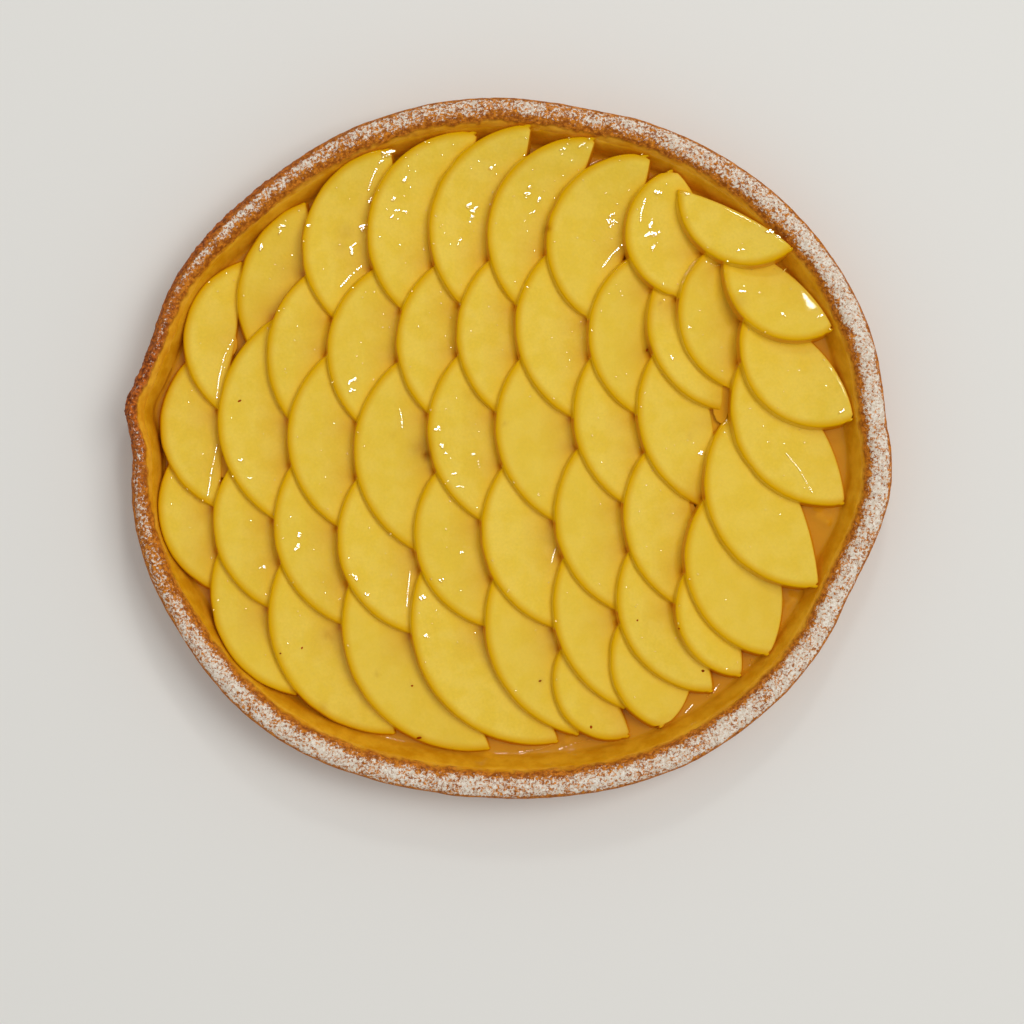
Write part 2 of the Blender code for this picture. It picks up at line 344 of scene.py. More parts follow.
def calculate(tree, operation, *values):
    """One Math node."""
    return add_node(tree, "ShaderNodeMath", dict(enumerate(values)), operation=operation).outputs[0]


def remap(tree, value, start, end, low=0.0, high=1.0):
    """A smooth ramp of a value from start..end to low..high."""
    inputs = {"Value": value, "From Min": start, "From Max": end, "To Min": low, "To Max": high}
    return add_node(tree, "ShaderNodeMapRange", inputs, interpolation_type="SMOOTHSTEP").outputs["Result"]


def new_group(name, inputs, outputs):
    """An empty node group with named inputs and outputs, each of a given type."""
    group = bpy.data.node_groups.new(name, "ShaderNodeTree")
    for way, sockets in (("INPUT", inputs), ("OUTPUT", outputs)):
        for socket, kind in sockets.items():
            group.interface.new_socket(name=socket, in_out=way, socket_type="NodeSocket" + kind)
    return group, group.nodes.new("NodeGroupInput").outputs, group.nodes.new("NodeGroupOutput").inputs


def use_group(tree, group, inputs):
    """A group placed in a material with its own values."""
    return add_node(tree, "ShaderNodeGroup", inputs, node_tree=group).outputs


print("middle grey as light:", round(tone(128, 128, 128)[0], 3))


# %% Shared shader groups
def noise_at(tree, place, scale, detail=2.0):
    """A noise field from 0 to 1 whose lumps are one over scale metres wide."""
    inputs = {"Vector": place, "Scale": scale, "Detail": detail}
    return add_node(tree, "ShaderNodeTexNoise", inputs).outputs["Fac"]


def make_mottle():
    """Colour that wanders between two tones in patches, with a fine grain of lighter and darker points."""
    inputs = {"Place": "Vector", "Colour": "Color", "Other Colour": "Color"}
    inputs.update(dict.fromkeys(("Patch Scale", "Grain Scale", "Grain"), "Float"))
    group, given, out = new_group("mottle", inputs, {"Colour": "Color"})
    patches = remap(group, noise_at(group, given["Place"], given["Patch Scale"], 3.0), 0.35, 0.65)
    ground = mix_colours(group, patches, given["Colour"], given["Other Colour"])
    points = noise_at(group, given["Place"], given["Grain Scale"])
    centred = calculate(group, "SUBTRACT", points, 0.5)
    gain = calculate(group, "MULTIPLY_ADD", centred, given["Grain"], 1.0)
    shades = {"Red": gain, "Green": gain, "Blue": gain}
    grey = add_node(group, "ShaderNodeCombineColor", shades).outputs["Color"]
    group.links.new(mix_colours(group, 1.0, ground, grey, "MULTIPLY"), out["Colour"])
    return group


def make_speckle():
    """A mask of grains: a cover from 0 to 1 is broken up by noise, so it thins into separate grains."""
    inputs = {"Place": "Vector", "Cover": "Float", "Grain Scale": "Float", "Softness": "Float"}
    group, given, out = new_group("speckle", inputs, {"Mask": "Float"})
    noise = {"Vector": given["Place"], "Scale": given["Grain Scale"], "Detail": 5.0, "Roughness": 0.8}
    fine = add_node(group, "ShaderNodeTexNoise", noise).outputs["Fac"]
    spread = remap(group, fine, 0.25, 0.75)
    edge = calculate(group, "SUBTRACT", 1.0, given["Cover"])
    low = calculate(group, "SUBTRACT", edge, given["Softness"])
    high = calculate(group, "ADD", edge, given["Softness"])
    group.links.new(remap(group, spread, low, high), out["Mask"])
    return group


def make_relief():
    """A height in metres: broad swells, smaller lumps and fine grain, each with its own depth."""
    kinds = ("Swell", "Lump", "Grain")
    inputs = {"Place": "Vector"}
    inputs.update((kind + size, "Float") for kind in kinds for size in (" Scale", " Depth"))
    group, given, out = new_group("relief", inputs, {"Height": "Float"})
    height = 0.0
    for kind in kinds:
        field = noise_at(group, given["Place"], given[kind + " Scale"])
        height = calculate(group, "MULTIPLY_ADD", field, given[kind + " Depth"], height)
    group.links.new(height, out["Height"])
    return group


mottle, speckle, relief = make_mottle(), make_speckle(), make_relief()
print("shader groups:", [group.name for group in (mottle, speckle, relief)])


def new_finish(name, roughness, coat=0.0, coat_roughness=0.05, specular=0.5, subsurface=0.0):
    """A material with its constants set on the shader's own sockets; gives tree, shader and place."""
    material = bpy.data.materials.new(name)
    material.use_nodes = True
    tree = material.node_tree
    shader = tree.nodes["Principled BSDF"]
    shader.inputs["Roughness"].default_value = roughness
    shader.inputs["Coat Weight"].default_value = coat
    shader.inputs["Coat Roughness"].default_value = coat_roughness
    shader.inputs["Specular IOR Level"].default_value = specular
    shader.inputs["Subsurface Weight"].default_value = subsurface
    shader.inputs["Subsurface Radius"].default_value = (1.0, 0.6, 0.15)
    shader.inputs["Subsurface Scale"].default_value = 0.003
    place = add_node(tree, "ShaderNodeTexCoord").outputs["Object"]
    return material, tree, shader, place


def mask_of(tree, name):
    """A mask that a piece carries on its points."""
    return add_node(tree, "ShaderNodeAttribute", attribute_name=name).outputs["Fac"]


def set_bump(tree, shader, height):
    """Bump from a height in metres."""
    bump = add_node(tree, "ShaderNodeBump", {"Height": height, "Strength": 1.0, "Distance": 1.0})
    tree.links.new(bump.outputs["Normal"], shader.inputs["Normal"])


def mottled(tree, place, first, second, patch_scale, grain_scale, grain):
    """A colour that wanders between two tones, by the shared mottle."""
    return use_group(tree, mottle, {
        "Place": place, "Colour": tone(*first), "Other Colour": tone(*second),
        "Patch Scale": patch_scale, "Grain Scale": grain_scale, "Grain": grain})["Colour"]


def relief_height(tree, place, swell, lump, grain):
    """The shared relief's height, from a scale and a depth for each of its three parts."""
    return use_group(tree, relief, {
        "Place": place, "Swell Scale": swell[0], "Swell Depth": swell[1], "Lump Scale": lump[0],
        "Lump Depth": lump[1], "Grain Scale": grain[0], "Grain Depth": grain[1]})["Height"]


def cover_with(tree, colour, covers):
    """A colour with each of the given masks' tones laid over it in turn."""
    for mask, over in covers:
        colour = mix_colours(tree, mask_of(tree, mask), colour, tone(*over))
    return colour


# %% [markdown]
# ## The baked shell
#
# The real shell is shortcrust pressed by hand into an oval: its crest wanders, its top is a craggy band
# under icing sugar, the inside is smooth where glaze was brushed on, and the left end has caught in the
# oven. The surface is a net of angle by profile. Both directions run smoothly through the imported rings,
# and lumps push the net along its own normals, most of all on the crest.


# %% The shell's fine net
CRUST_COLUMNS = 1440
CREST_STEPS = 36
RING_PLACES = np.concatenate(
    (np.linspace(0, 4, 13)[:-1], np.linspace(4, 10, CREST_STEPS)[:-1], np.linspace(10, 14, 15))
)


def fine_net(rings, columns, ring_places):
    """A closed net through coarse rings: smooth round each ring, then smooth from ring to ring."""
    knots = np.arange(rings.shape[1], dtype=float)
    turns = np.linspace(0, rings.shape[1], columns, endpoint=False)
    round_each = smooth_line(knots, rings.transpose(1, 0, 2), turns, period=rings.shape[1])
    return smooth_line(np.arange(len(rings), dtype=float), round_each.transpose(1, 0, 2), ring_places)


def net_normals(net):
    """Unit normals of a net whose columns run anticlockwise and whose rows run outwards and over."""
    along = np.roll(net, -1, axis=1) - np.roll(net, 1, axis=1)
    up = np.gradient(net, axis=0)
    normals = np.cross(along, up)
    return normals / np.linalg.norm(normals, axis=-1, keepdims=True)


crust_net = fine_net(crust_rings, CRUST_COLUMNS, RING_PLACES)
crust_normals = net_normals(crust_net)
crust_turn = np.degrees(np.arctan2(crust_net[..., 1], crust_net[..., 0]))
print("shell net:", crust_net.shape, "outer wall faces out:", bool(crust_normals[8, 0, 0] > 0))


# %% Where sugar, scorching and glaze lie
def hump(values, middle, half_width):
    """1 at the middle of a turn in degrees, falling smoothly to 0 at the half width."""
    apart = np.abs((values - middle + 180) % 360 - 180)
    return ramp(apart, half_width, 0)


# Sides of the rim: the middle and the half width as turns in degrees, from the right by way of the top.
BURNT_END, UPPER_LEFT, TOP, LOWER_RIGHT = (171, 28), (146, 44), (85, 55), (335, 70)
# Where the sugar lies thinner: the same two turns, and how much thinner.
THIN_SUGAR = ((90, 75, 0.12), (270, 75, 0.06), (194, 24, 0.20))


def crust_masks(net, turn, place):
    """Cover of sugar, scorching, crumb and brushed glaze on the shell's points, each from 0 to 1.

    The place counts packed rings from the underside: 4 is the foot of the rim, 6 to 9 its crest, and from
    9 on the inner wall. Each cover is a product of ramps along it, whose borders wander with the lumps.
    """
    wander = 0.34 * lumps(net, 4.0, 11) + 0.26 * lumps(net, 1.5, 12)
    burnt, upper_left, top = (hump(turn, *side) for side in (BURNT_END, UPPER_LEFT, TOP))
    scorched = burnt * ramp(place, 2.6, 4.4) * ramp(place + wander, 8.5, 7.5)
    outer = 0.9 * upper_left * ramp(place, 3.8, 4.8) * ramp(place + wander, 7.0, 5.6)
    scorched = np.maximum(scorched, outer)
    dense = 0.60 + 0.10 * lumps(net, 7.0, 13) + 0.12 * lumps(net, 2.5, 14) - 0.09 * upper_left
    for middle, half_width, thinned in THIN_SUGAR:
        dense -= thinned * hump(turn, middle, half_width)
    start = 5.0 + 1.1 * upper_left
    end = 8.9 - 0.5 * upper_left - 0.6 * burnt
    end += 0.2 * hump(turn, *LOWER_RIGHT) - 0.7 * top
    band = ramp(place + 0.5 * wander, start, start + 0.9) * ramp(place + wander, end + 0.5, end - 1.3)
    sugar = band * dense * (1 - 0.65 * burnt)
    crumb = ramp(place, 3.2, 4.4)
    glazed = ramp(place + 0.8 * wander + 0.5 * top + 1.2 * burnt, 9.1, 9.7)
    return {"sugar": sugar, "scorched": scorched, "crumb": crumb, "glazed": glazed}


crust_place = np.broadcast_to(RING_PLACES[:, None], crust_turn.shape)
crust_cover = crust_masks(crust_net, crust_turn, crust_place)


def crust_relief(net, masks, place):
    """How far the shell's points stand out along their normals, in millimetres: a sum of lumps.

    Broad ones cover the side, crags the crest, finer ones what is scorched, and flat streaks the glaze.
    """
    crest = ramp(place, 4.2, 6.0) * ramp(place, 10.0, 9.0)
    side = 0.28 * lumps(net, 9.0, 21) + 0.10 * lumps(net, 2.4, 22)
    crags = 0.22 * lumps(net, 3.2, 23) + 0.22 * lumps(net, 1.3, 24)
    scorch = masks["scorched"] * (0.40 * lumps(net, 2.6, 26) + 0.45 * lumps(net, 1.2, 27))
    streaks = 0.10 * lumps(net * (1, 1, 0.3), 2.5, 25) * masks["glazed"]
    return side * (1 - 0.6 * masks["glazed"]) + crest * crags + scorch + streaks


foot = ramp(crust_place, 0.0, 1.5)
pushed = crust_net + crust_normals * (foot * crust_relief(crust_net, crust_cover, crust_place))[..., None]
pushed[..., 2] = np.maximum(pushed[..., 2], 0.0)
print("shell reaches", np.round(pushed.reshape(-1, 3).max(axis=0), 1), "mm")


# %% The shell's finish
def make_crust_finish():
    """Baked dough from gold to scorched brown, sugar in grains along the crest, amber glaze inside."""
    material, tree, shader, place = new_finish(
        "baked_shortcrust", 0.62, coat=0.0, coat_roughness=0.12, specular=0.15)
    glazed = mask_of(tree, "glazed")
    dough = mottled(tree, place, (206, 142, 72), (180, 108, 46), 110.0, 900.0, 0.5)
    browned = mottled(tree, place, (206, 126, 34), (150, 80, 16), 700.0, 1800.0, 1.5)
    burnt = mottled(tree, place, (196, 102, 28), (108, 44, 10), 800.0, 1900.0, 1.6)
    amber = mottled(tree, place, (234, 172, 46), (218, 148, 22), 130.0, 700.0, 0.16)
    snow = mottled(tree, place, (238, 229, 215), (216, 200, 179), 900.0, 2600.0, 0.5)
    grains = use_group(tree, speckle, {
        "Place": place, "Cover": mask_of(tree, "sugar"), "Grain Scale": 1000.0, "Softness": 0.09})["Mask"]
    colour = mix_colours(tree, mask_of(tree, "crumb"), dough, browned)
    for cover, over in ((glazed, amber), (mask_of(tree, "scorched"), burnt), (grains, snow)):
        colour = mix_colours(tree, cover, colour, over)
    tree.links.new(colour, shader.inputs["Base Color"])
    tree.links.new(remap(tree, glazed, 0.0, 1.0, 0.70, 0.34), shader.inputs["Roughness"])
    tree.links.new(remap(tree, glazed, 0.2, 1.0, 0.0, 0.2), shader.inputs["Coat Weight"])
    height = relief_height(tree, place, (250.0, 0.0003), (800.0, 0.0003), (2200.0, 0.00015))
    calm = remap(tree, glazed, 0.0, 1.0, 1.0, 0.25)
    set_bump(tree, shader, calculate(tree, "MULTIPLY", height, calm))
    return material


crust_finish = make_crust_finish()


def closed_net(net):
    """Points and faces of a net closed by a hub at each end, in the middle of its first and last rows."""
    rows, columns = net.shape[:2]
    hubs = (net[0].mean(axis=0), net[-1].mean(axis=0))
    points = np.vstack((net.reshape(-1, 3), *hubs))
    count = rows * columns
    faces = band_faces(rows, columns).tolist()
    faces += fan_faces(0, columns, count, hub_is_above=False).tolist()
    faces += fan_faces(count - columns, columns, count + 1, hub_is_above=True).tolist()
    return points, faces


def with_hubs(mask):
    """A net's mask as a list of point values, with zeros for the two hubs."""
    return np.concatenate((mask.ravel(), (0.0, 0.0)))


crust_points, crust_faces = closed_net(pushed)
make_piece(
    "crust_shell", crust_points, crust_faces,
    {name: with_hubs(mask) for name, mask in crust_cover.items()},
    crust_finish, ["crust"],
)
print("shell faces:", len(crust_faces))

# %% [markdown]
# ## The glaze bed
#
# The fruit lies on set glaze that filled the shell almost level. It wets the wall and covers it as a thin
# skin up to the crumb, with a soft hollow where wall and level meet, and it is gently rippled. Only an amber
# strip shows between the fruit and the wall, so the net is fine near the wall and coarse beneath the fruit.


# %% Places read from the photograph
# Level in millimetres at which places are read, the picture's side in its units, the sensor's side.
FRUIT_LEVEL = 17.0
PICTURE_SIDE = 1024
SENSOR = 36.0


def seen_at(across, down, level=FRUIT_LEVEL):
    """Where on the tart, in millimetres, a spot of the square picture lies, for a known level.

    One unit of the picture spans the distance from the lens times sensor over lens over side.
    """
    reach = (PHOTO_VIEW.height / MM - level) * SENSOR / PHOTO_VIEW.lens / PICTURE_SIDE
    middle = PICTURE_SIDE / 2
    return np.array((
        PHOTO_VIEW.across / MM + (across - middle) * reach,
        PHOTO_VIEW.along / MM + (middle - down) * reach,
    ))


print("the picture's middle lies at", seen_at(PICTURE_SIDE / 2, PICTURE_SIDE / 2).round(1))


# %% The bed's net and finish
BED_COLUMNS = 720
WALL_PLACES = np.linspace(9.4, 12.6, 24)
# In millimetres: the skin's height over the wall, how deep its first row is tucked in, and the turn's size.
WALL_COVER = 0.9
TUCKED_IN = 0.35
FILLET = 1.2
COVERED_FROM = 10.0
# Lumps of jelly beside the wall: place in the picture, radius and height in millimetres.
JELLY_LUMPS = (
    (820, 515, 2.2, 1.3), (829, 522, 1.5, 1.0), (793, 600, 1.9, 1.2), (787, 606, 1.3, 0.9),
    (487, 755, 1.6, 0.9), (567, 742, 1.8, 1.0), (536, 133, 1.6, 0.8), (600, 146, 1.6, 0.8),
)

bed_side = fine_net(bed_rings, BED_COLUMNS, np.linspace(0, 3, 10))
bed_rim = bed_side[-1]
bed_middle = bed_rim.mean(axis=0)
bed_inset = np.concatenate((np.linspace(0, 12, 25)[1:], np.linspace(12, 94, 10)[1:]))
BED_LEVEL = bed_rim[:, 2].mean()
DEEP_BELOW, DEEPEST = BED_LEVEL + 2.2, BED_LEVEL + 0.2


def wall_skin():
    """Glaze on the wall, as a net: z = level + k log(1 + exp((wall - level) / k)).

    High up this is the wall, far down it is the level, and k rounds the turn from one to the other. The
    first row lies just inside the crumb, the next ones stand clear of the wall.
    """
    net = fine_net(crust_rings, BED_COLUMNS, WALL_PLACES)
    clear = WALL_COVER * ramp(WALL_PLACES, WALL_PLACES[0], COVERED_FROM) - TUCKED_IN
    wall = net[..., 2] + clear[:, None]
    net[..., 2] = BED_LEVEL + FILLET * np.logaddexp(0, (wall - BED_LEVEL) / FILLET)
    return net


def bed_row(rim, inset):
    """One row of the level skin: the wall skin's last row moved towards the middle."""
    way = bed_middle[:2] - rim[:, :2]
    way /= np.linalg.norm(way, axis=1, keepdims=True)
    row = rim.copy()
    row[:, :2] += way * inset
    return row


def rippled(net):
    """The skin with slow ripples and lumps of jelly, each a bell of its radius and height."""
    swell = 0.16 * lumps(net, 5.0, 31) + 0.07 * lumps(net, 2.0, 32)
    for across, down, radius, height in JELLY_LUMPS:
        apart = np.hypot(*(net[..., :2] - seen_at(across, down)).transpose(2, 0, 1))
        swell += height * np.exp(-((apart / radius) ** 2))
    return net + swell[..., None] * (0, 0, 1)


bed_wall = wall_skin()
bed_skin = rippled(np.concatenate((bed_wall, [bed_row(bed_wall[-1], inset) for inset in bed_inset])))
bed_net = np.concatenate((bed_side[:-1], bed_skin))


def make_gel_finish():
    """Set glaze: amber, darker where it is deep, wet and clear-coated, with slow ripples."""
    material, tree, shader, place = new_finish(
        "set_amber_glaze", 0.3, coat=0.4, coat_roughness=0.05, specular=0.0, subsurface=0.1)
    wandering = mottled(tree, place, (226, 161, 30), (210, 141, 14), 160.0, 900.0, 0.12)
    colour = cover_with(tree, wandering, [("deep", (206, 142, 24))])
    tree.links.new(colour, shader.inputs["Base Color"])
    set_bump(tree, shader, relief_height(tree, place, (220.0, 0.0003), (600.0, 0.00008), (2000.0, 0.000008)))
    return material


bed_finish = make_gel_finish()
bed_points, bed_faces = closed_net(bed_net)
bed_masks = {"deep": with_hubs(ramp(bed_net[..., 2], DEEP_BELOW, DEEPEST))}
make_piece(
    "glaze_bed_skin", bed_points, bed_faces, bed_masks, bed_finish, ["glaze_bed"])
print("bed faces:", len(bed_faces))

# %% [markdown]
# ## Reading the fruit's slices
#
# Each packed slice is a bent plate whose outline is two arcs between two tips. Points that stand above
# each other by the shoulder's height lie on the outline, those that stand apart by the full thickness lie
# on the spine. From these come the chord, the bow of both arcs and the level of the underside along three
# rails, which is all that a fine slice needs.


# %% Slices as chord, arcs and rails
# In millimetres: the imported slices' height at the edge and at the spine, and what counts as the same.
SHOULDER = 1.4
THICKNESS = 2.2
SAME_PLACE = 0.02
SAME_STEP = 0.05
TINY = 0.01


def spans(first, second):
    """The distance between every point of one list and every point of another, in the plan."""
    return np.hypot(*(first[:, None] - second[None]).transpose(2, 0, 1))


class Fruit(NamedTuple):
    """One slice: its low tip, unit ways along and across the chord, sizes, and its underside's rails."""

    node: str
    tip: np.ndarray
    along: np.ndarray
    across: np.ndarray
    length: float
    peeled_bow: float
    core_bow: float
    rails: tuple
    spine_place: tuple


def bow_line(places, length, bow):
    """How far a circular arc stands off its chord of a given length, at places along the chord."""
    radius = (length**2 / 4 + bow**2) / (2 * max(abs(bow), TINY))
    rise = np.sqrt(np.maximum(radius**2 - (places - length / 2) ** 2, 0)) - (radius - abs(bow))
    return math.copysign(1.0, bow) * np.maximum(rise, 0)


def read_fruit(node):
    """The chord, bows and rails of one packed slice."""
    points, _ = merged(node)
    rise = points[None, :, 2] - points[:, None, 2]
    twin = spans(points[:, :2], points[:, :2]) < SAME_PLACE
    outline, spine = (
        points[(twin & (np.abs(rise - step) < SAME_STEP)).any(axis=1)] for step in (SHOULDER, THICKNESS)
    )
    gaps = spans(outline[:, :2], outline[:, :2])
    ends = np.unravel_index(np.argmax(gaps), gaps.shape)
    low, high = sorted((outline[ends[0]], outline[ends[1]]), key=lambda point: point[1])
    length = float(np.hypot(*(high - low)[:2]))
    along = (high - low)[:2] / length
    across = np.array((-along[1], along[0]))
    local, local_spine = (
        np.column_stack(((line[:, :2] - low[:2]) @ along, (line[:, :2] - low[:2]) @ across, line[:, 2]))
        for line in (outline, spine)
    )
    local_spine = local_spine[np.argsort(local_spine[:, 0])]
    middle = np.interp(local[:, 0], local_spine[:, 0], local_spine[:, 1])
    inner = (local[:, 0] > TINY) & (local[:, 0] < length - TINY)
    tips = np.array(((0.0, 0.0, low[2]), (length, 0.0, high[2])))
    rails = []
    for part in (local[inner & (local[:, 1] > middle)], local_spine, local[inner & (local[:, 1] <= middle)]):
        rail = np.vstack((tips, part))
        rails.append(rail[np.argsort(rail[:, 0])])
    peeled, spine_rail, core = rails
    peeled_bow = float(peeled[np.argmax(np.abs(peeled[:, 1])), 1])
    core_bow = float(core[np.argmax(np.abs(core[:, 1])), 1])
    floor, roof = (bow_line(local_spine[:, 0], length, bow) for bow in (core_bow, peeled_bow))
    share = (local_spine[:, 1] - floor) / (roof - floor)
    return Fruit(
        node, low[:2], along, across, length, peeled_bow, core_bow,
        (peeled[:, ::2], spine_rail[:, ::2], core[:, ::2]), (local_spine[:, 0], share),
    )


def underside(fruit, places, share):
    """Level of a slice's underside at places along the chord and a share from core (0) to peel (1).

    Each rail gives a level at the place; a parabola through the three levels runs across the slice.
    """
    peel, spine, core = (smooth_line(rail[:, 0], rail[:, 1], places) for rail in fruit.rails)
    mid = np.interp(places, *fruit.spine_place)
    return (
        core * (share - mid) * (share - 1) / mid
        + spine * share * (share - 1) / (mid * (mid - 1))
        + peel * share * (share - mid) / (1 - mid)
    )


fruits = [read_fruit(node) for node in sorted(frame["nodes"]) if node.startswith("apple_slice")]
for fruit in fruits[:3]:
    print(fruit.node, round(fruit.length, 1), round(fruit.peeled_bow, 1), round(fruit.core_bow, 1))

# %% [markdown]
# ## Slices of peeled fruit
#
# A real slice is cut from a peeled half: a long outer edge that was under the peel, two sharp tips and a
# flat wet face. It droops over the slices laid before it. Here its section is a closed loop carried from
# tip to tip, with the imported underside below, a rounded shoulder at each edge and a slightly swollen top.
# The net also stores, for the finish, how far each point is from the outer edge and from the slices that
# lie on it. Towards the outer edge the gold deepens, partly thicker glaze and partly painted shade and glow
# of the rounded edge; near the slices on it the colour takes painted shade.


# %% One slice's closed net
STATIONS = 64
UNDER_STEPS = 8
TOP_STEPS = 24
ROUND_STEPS = 5
SHOULDER_ROUND = 0.9
TIP_SHORTENING = 0.4
TIP_ROUND = 1.1
BLUNT_END = 0.2
CALM_TIP = 6.0
WAVER = 0.25
CROWN = 0.15
THIN_TIP = 5.0


def section_loop():
    """The loop's steps: share across the slice, inset in shoulder rounds, and height in shares.

    Each row is (share from core 0 to peel 1, inset, height below the round, height of the round).
    """
    turn = np.linspace(0, math.pi / 2, ROUND_STEPS)
    rows = [(share, 0.0, 0.0, 0.0) for share in np.linspace(0, 1, UNDER_STEPS)]
    rows += [(1.0, 0.0, 0.5, 0.0)]
    rows += [(1.0, 1 - math.cos(angle), 1.0, math.sin(angle)) for angle in turn]
    rows += [(share, 1.0, 1.0, 1.0) for share in np.linspace(1, 0, TOP_STEPS + 2)[1:-1]]
    rows += [(0.0, 1 - math.cos(angle), 1.0, math.sin(angle)) for angle in turn[::-1]]
    rows += [(0.0, 0.0, 0.5, 0.0)]
    return np.array(rows)


LOOP = section_loop()


def arc_distance(places, offs, length, bow):
    """How far a point lies from an arc over the chord, counted towards the arc's hollow side."""
    radius = (length**2 / 4 + bow**2) / (2 * max(abs(bow), TINY))
    centre = -math.copysign(radius - abs(bow), bow)
    return radius - np.hypot(places - length / 2, offs - centre)


def full_inside(fruit, places):
    """0 at both tips of a slice, and 1 from where the unevenness is full."""
    return ramp(places, 0.0, CALM_TIP) * ramp(fruit.length - places, 0.0, CALM_TIP)


def edge_lines(fruit, count):
    """Stations along the chord, close together at the tips, with a slice's outer and core edges there.

    Both edges are arcs with a slight waver; near each tip they are held within a small circle.
    """
    turn = np.linspace(0, math.pi, count)
    places = TIP_SHORTENING + (fruit.length - 2 * TIP_SHORTENING) * (1 - np.cos(turn)) / 2
    floor = bow_line(places, fruit.length, fruit.core_bow)
    roof = bow_line(places, fruit.length, fruit.peeled_bow)
    ends = full_inside(fruit, places)
    wander = np.column_stack((places, np.full(count, fruit.tip[0]), np.full(count, fruit.tip[1])))
    roof = roof + WAVER * ends * lumps(wander, 5.0, 41)
    short = np.clip(np.minimum(places, fruit.length - places) - TIP_SHORTENING, 0, TIP_ROUND)
    blunt = BLUNT_END + 2 * np.sqrt(short * (2 * TIP_ROUND - short))
    blunt = np.where(short >= TIP_ROUND, roof - floor, blunt)
    trim = np.maximum(roof - floor - blunt, 0) / 2
    return places, roof - trim, floor + trim


def thickness_at(fruit, places):
    """A slice's thickness at places along its chord: full in the middle, thinner close to the tips."""
    near_tip = np.minimum(places, fruit.length - places)
    return THICKNESS * (0.6 + 0.4 * ramp(near_tip, 0.0, THIN_TIP))


def slice_net(fruit, seed):
    """A slice's points: the section loop at every station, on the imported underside."""
    places, roof, floor = edge_lines(fruit, STATIONS)
    ends = full_inside(fruit, places)
    width = roof - floor
    rounding = np.minimum(SHOULDER_ROUND, 0.42 * width)
    thickness = thickness_at(fruit, places)
    share, inset, below, above = LOOP.T
    inward = np.where(share > 0.5, -1.0, 1.0) * np.where((share == 0) | (share == 1), inset, 0.0)
    off = floor[:, None] + width[:, None] * share
    squeezed = floor[:, None] + rounding[:, None] + (width - 2 * rounding)[:, None] * share
    on_top = (inset == 1) & (share > 0) & (share < 1)
    off = np.where(on_top, squeezed, off + inward * rounding[:, None])
    along = np.broadcast_to(places[:, None], off.shape)
    sharing = np.clip((off - floor[:, None]) / width[:, None], 0, 1)
    height = below * (thickness - rounding)[:, None] + above * rounding[:, None]
    spread = np.column_stack((along.ravel(), off.ravel(), np.full(off.size, 7.0 * seed)))
    swell = CROWN * (1 - (2 * sharing - 1) ** 2) * ends[:, None]
    uneven = (0.10 * lumps(spread, 6.0, 42) + 0.04 * lumps(spread, 2.2, 43)).reshape(off.shape)
    height = height + np.where(above > 0, above * (swell + uneven * ends[:, None]), 0.0)
    level = underside(fruit, along.ravel(), sharing.ravel()).reshape(off.shape)
    flat = fruit.tip + along[..., None] * fruit.along + off[..., None] * fruit.across
    return np.concatenate((flat, (level + height)[..., None]), axis=-1)


print("one slice's net:", slice_net(fruits[0], 1).shape)


# %% How near each point lies to the slices above it
OUTLINE_STEPS = 90


def fruit_outline(fruit):
    """Points round a slice seen from above: up the peeled arc and back down the core side."""
    places = fruit.length * (1 - np.cos(np.linspace(0, math.pi, OUTLINE_STEPS))) / 2
    sides = []
    for bow, order in ((fruit.peeled_bow, 1), (fruit.core_bow, -1)):
        off = bow_line(places, fruit.length, bow)
        flat = fruit.tip + places[:, None] * fruit.along + off[:, None] * fruit.across
        sides.append(flat[::order])
    return np.vstack(sides)


def in_fruit(fruit, flat):
    """Whether points lie within a slice's outline, and their place and share across it."""
    places, off = (flat - fruit.tip) @ fruit.along, (flat - fruit.tip) @ fruit.across
    floor = bow_line(places, fruit.length, fruit.core_bow)
    roof = bow_line(places, fruit.length, fruit.peeled_bow)
    inside = (places > 0) & (places < fruit.length) & (off > floor) & (off < roof)
    share = np.clip((off - floor) / np.maximum(roof - floor, TINY), 0, 1)
    return inside, np.clip(places, 0, fruit.length), share


outlines = [fruit_outline(fruit) for fruit in fruits]
print("points of a slice's outline:", len(outlines[0]))
# How far the painted shade and the painted hollow shade reach from the slices laid later, in millimetres.
SHADE_REACH = 2.2
HOLLOW_SHADE_REACH = 4.6


def nearest_later(order, flat):
    """How far points are from the nearest and from the second nearest slice laid later."""
    nearest, second = np.full(len(flat), 99.0), np.full(len(flat), 99.0)
    for later in range(order + 1, len(fruits)):
        outline = outlines[later]
        reach = 2.5 * HOLLOW_SHADE_REACH
        low, high = outline.min(axis=0) - reach, outline.max(axis=0) + reach
        close = np.where(((flat > low) & (flat < high)).all(axis=1))[0]
        if not len(close):
            continue
        apart = spans(flat[close], outline).min(axis=1)
        inside, _, _ = in_fruit(fruits[later], flat[close])
        apart = np.where(inside, 0.0, apart)
        second[close] = np.minimum(second[close], np.maximum(nearest[close], apart))
        nearest[close] = np.minimum(nearest[close], apart)
    return nearest, second


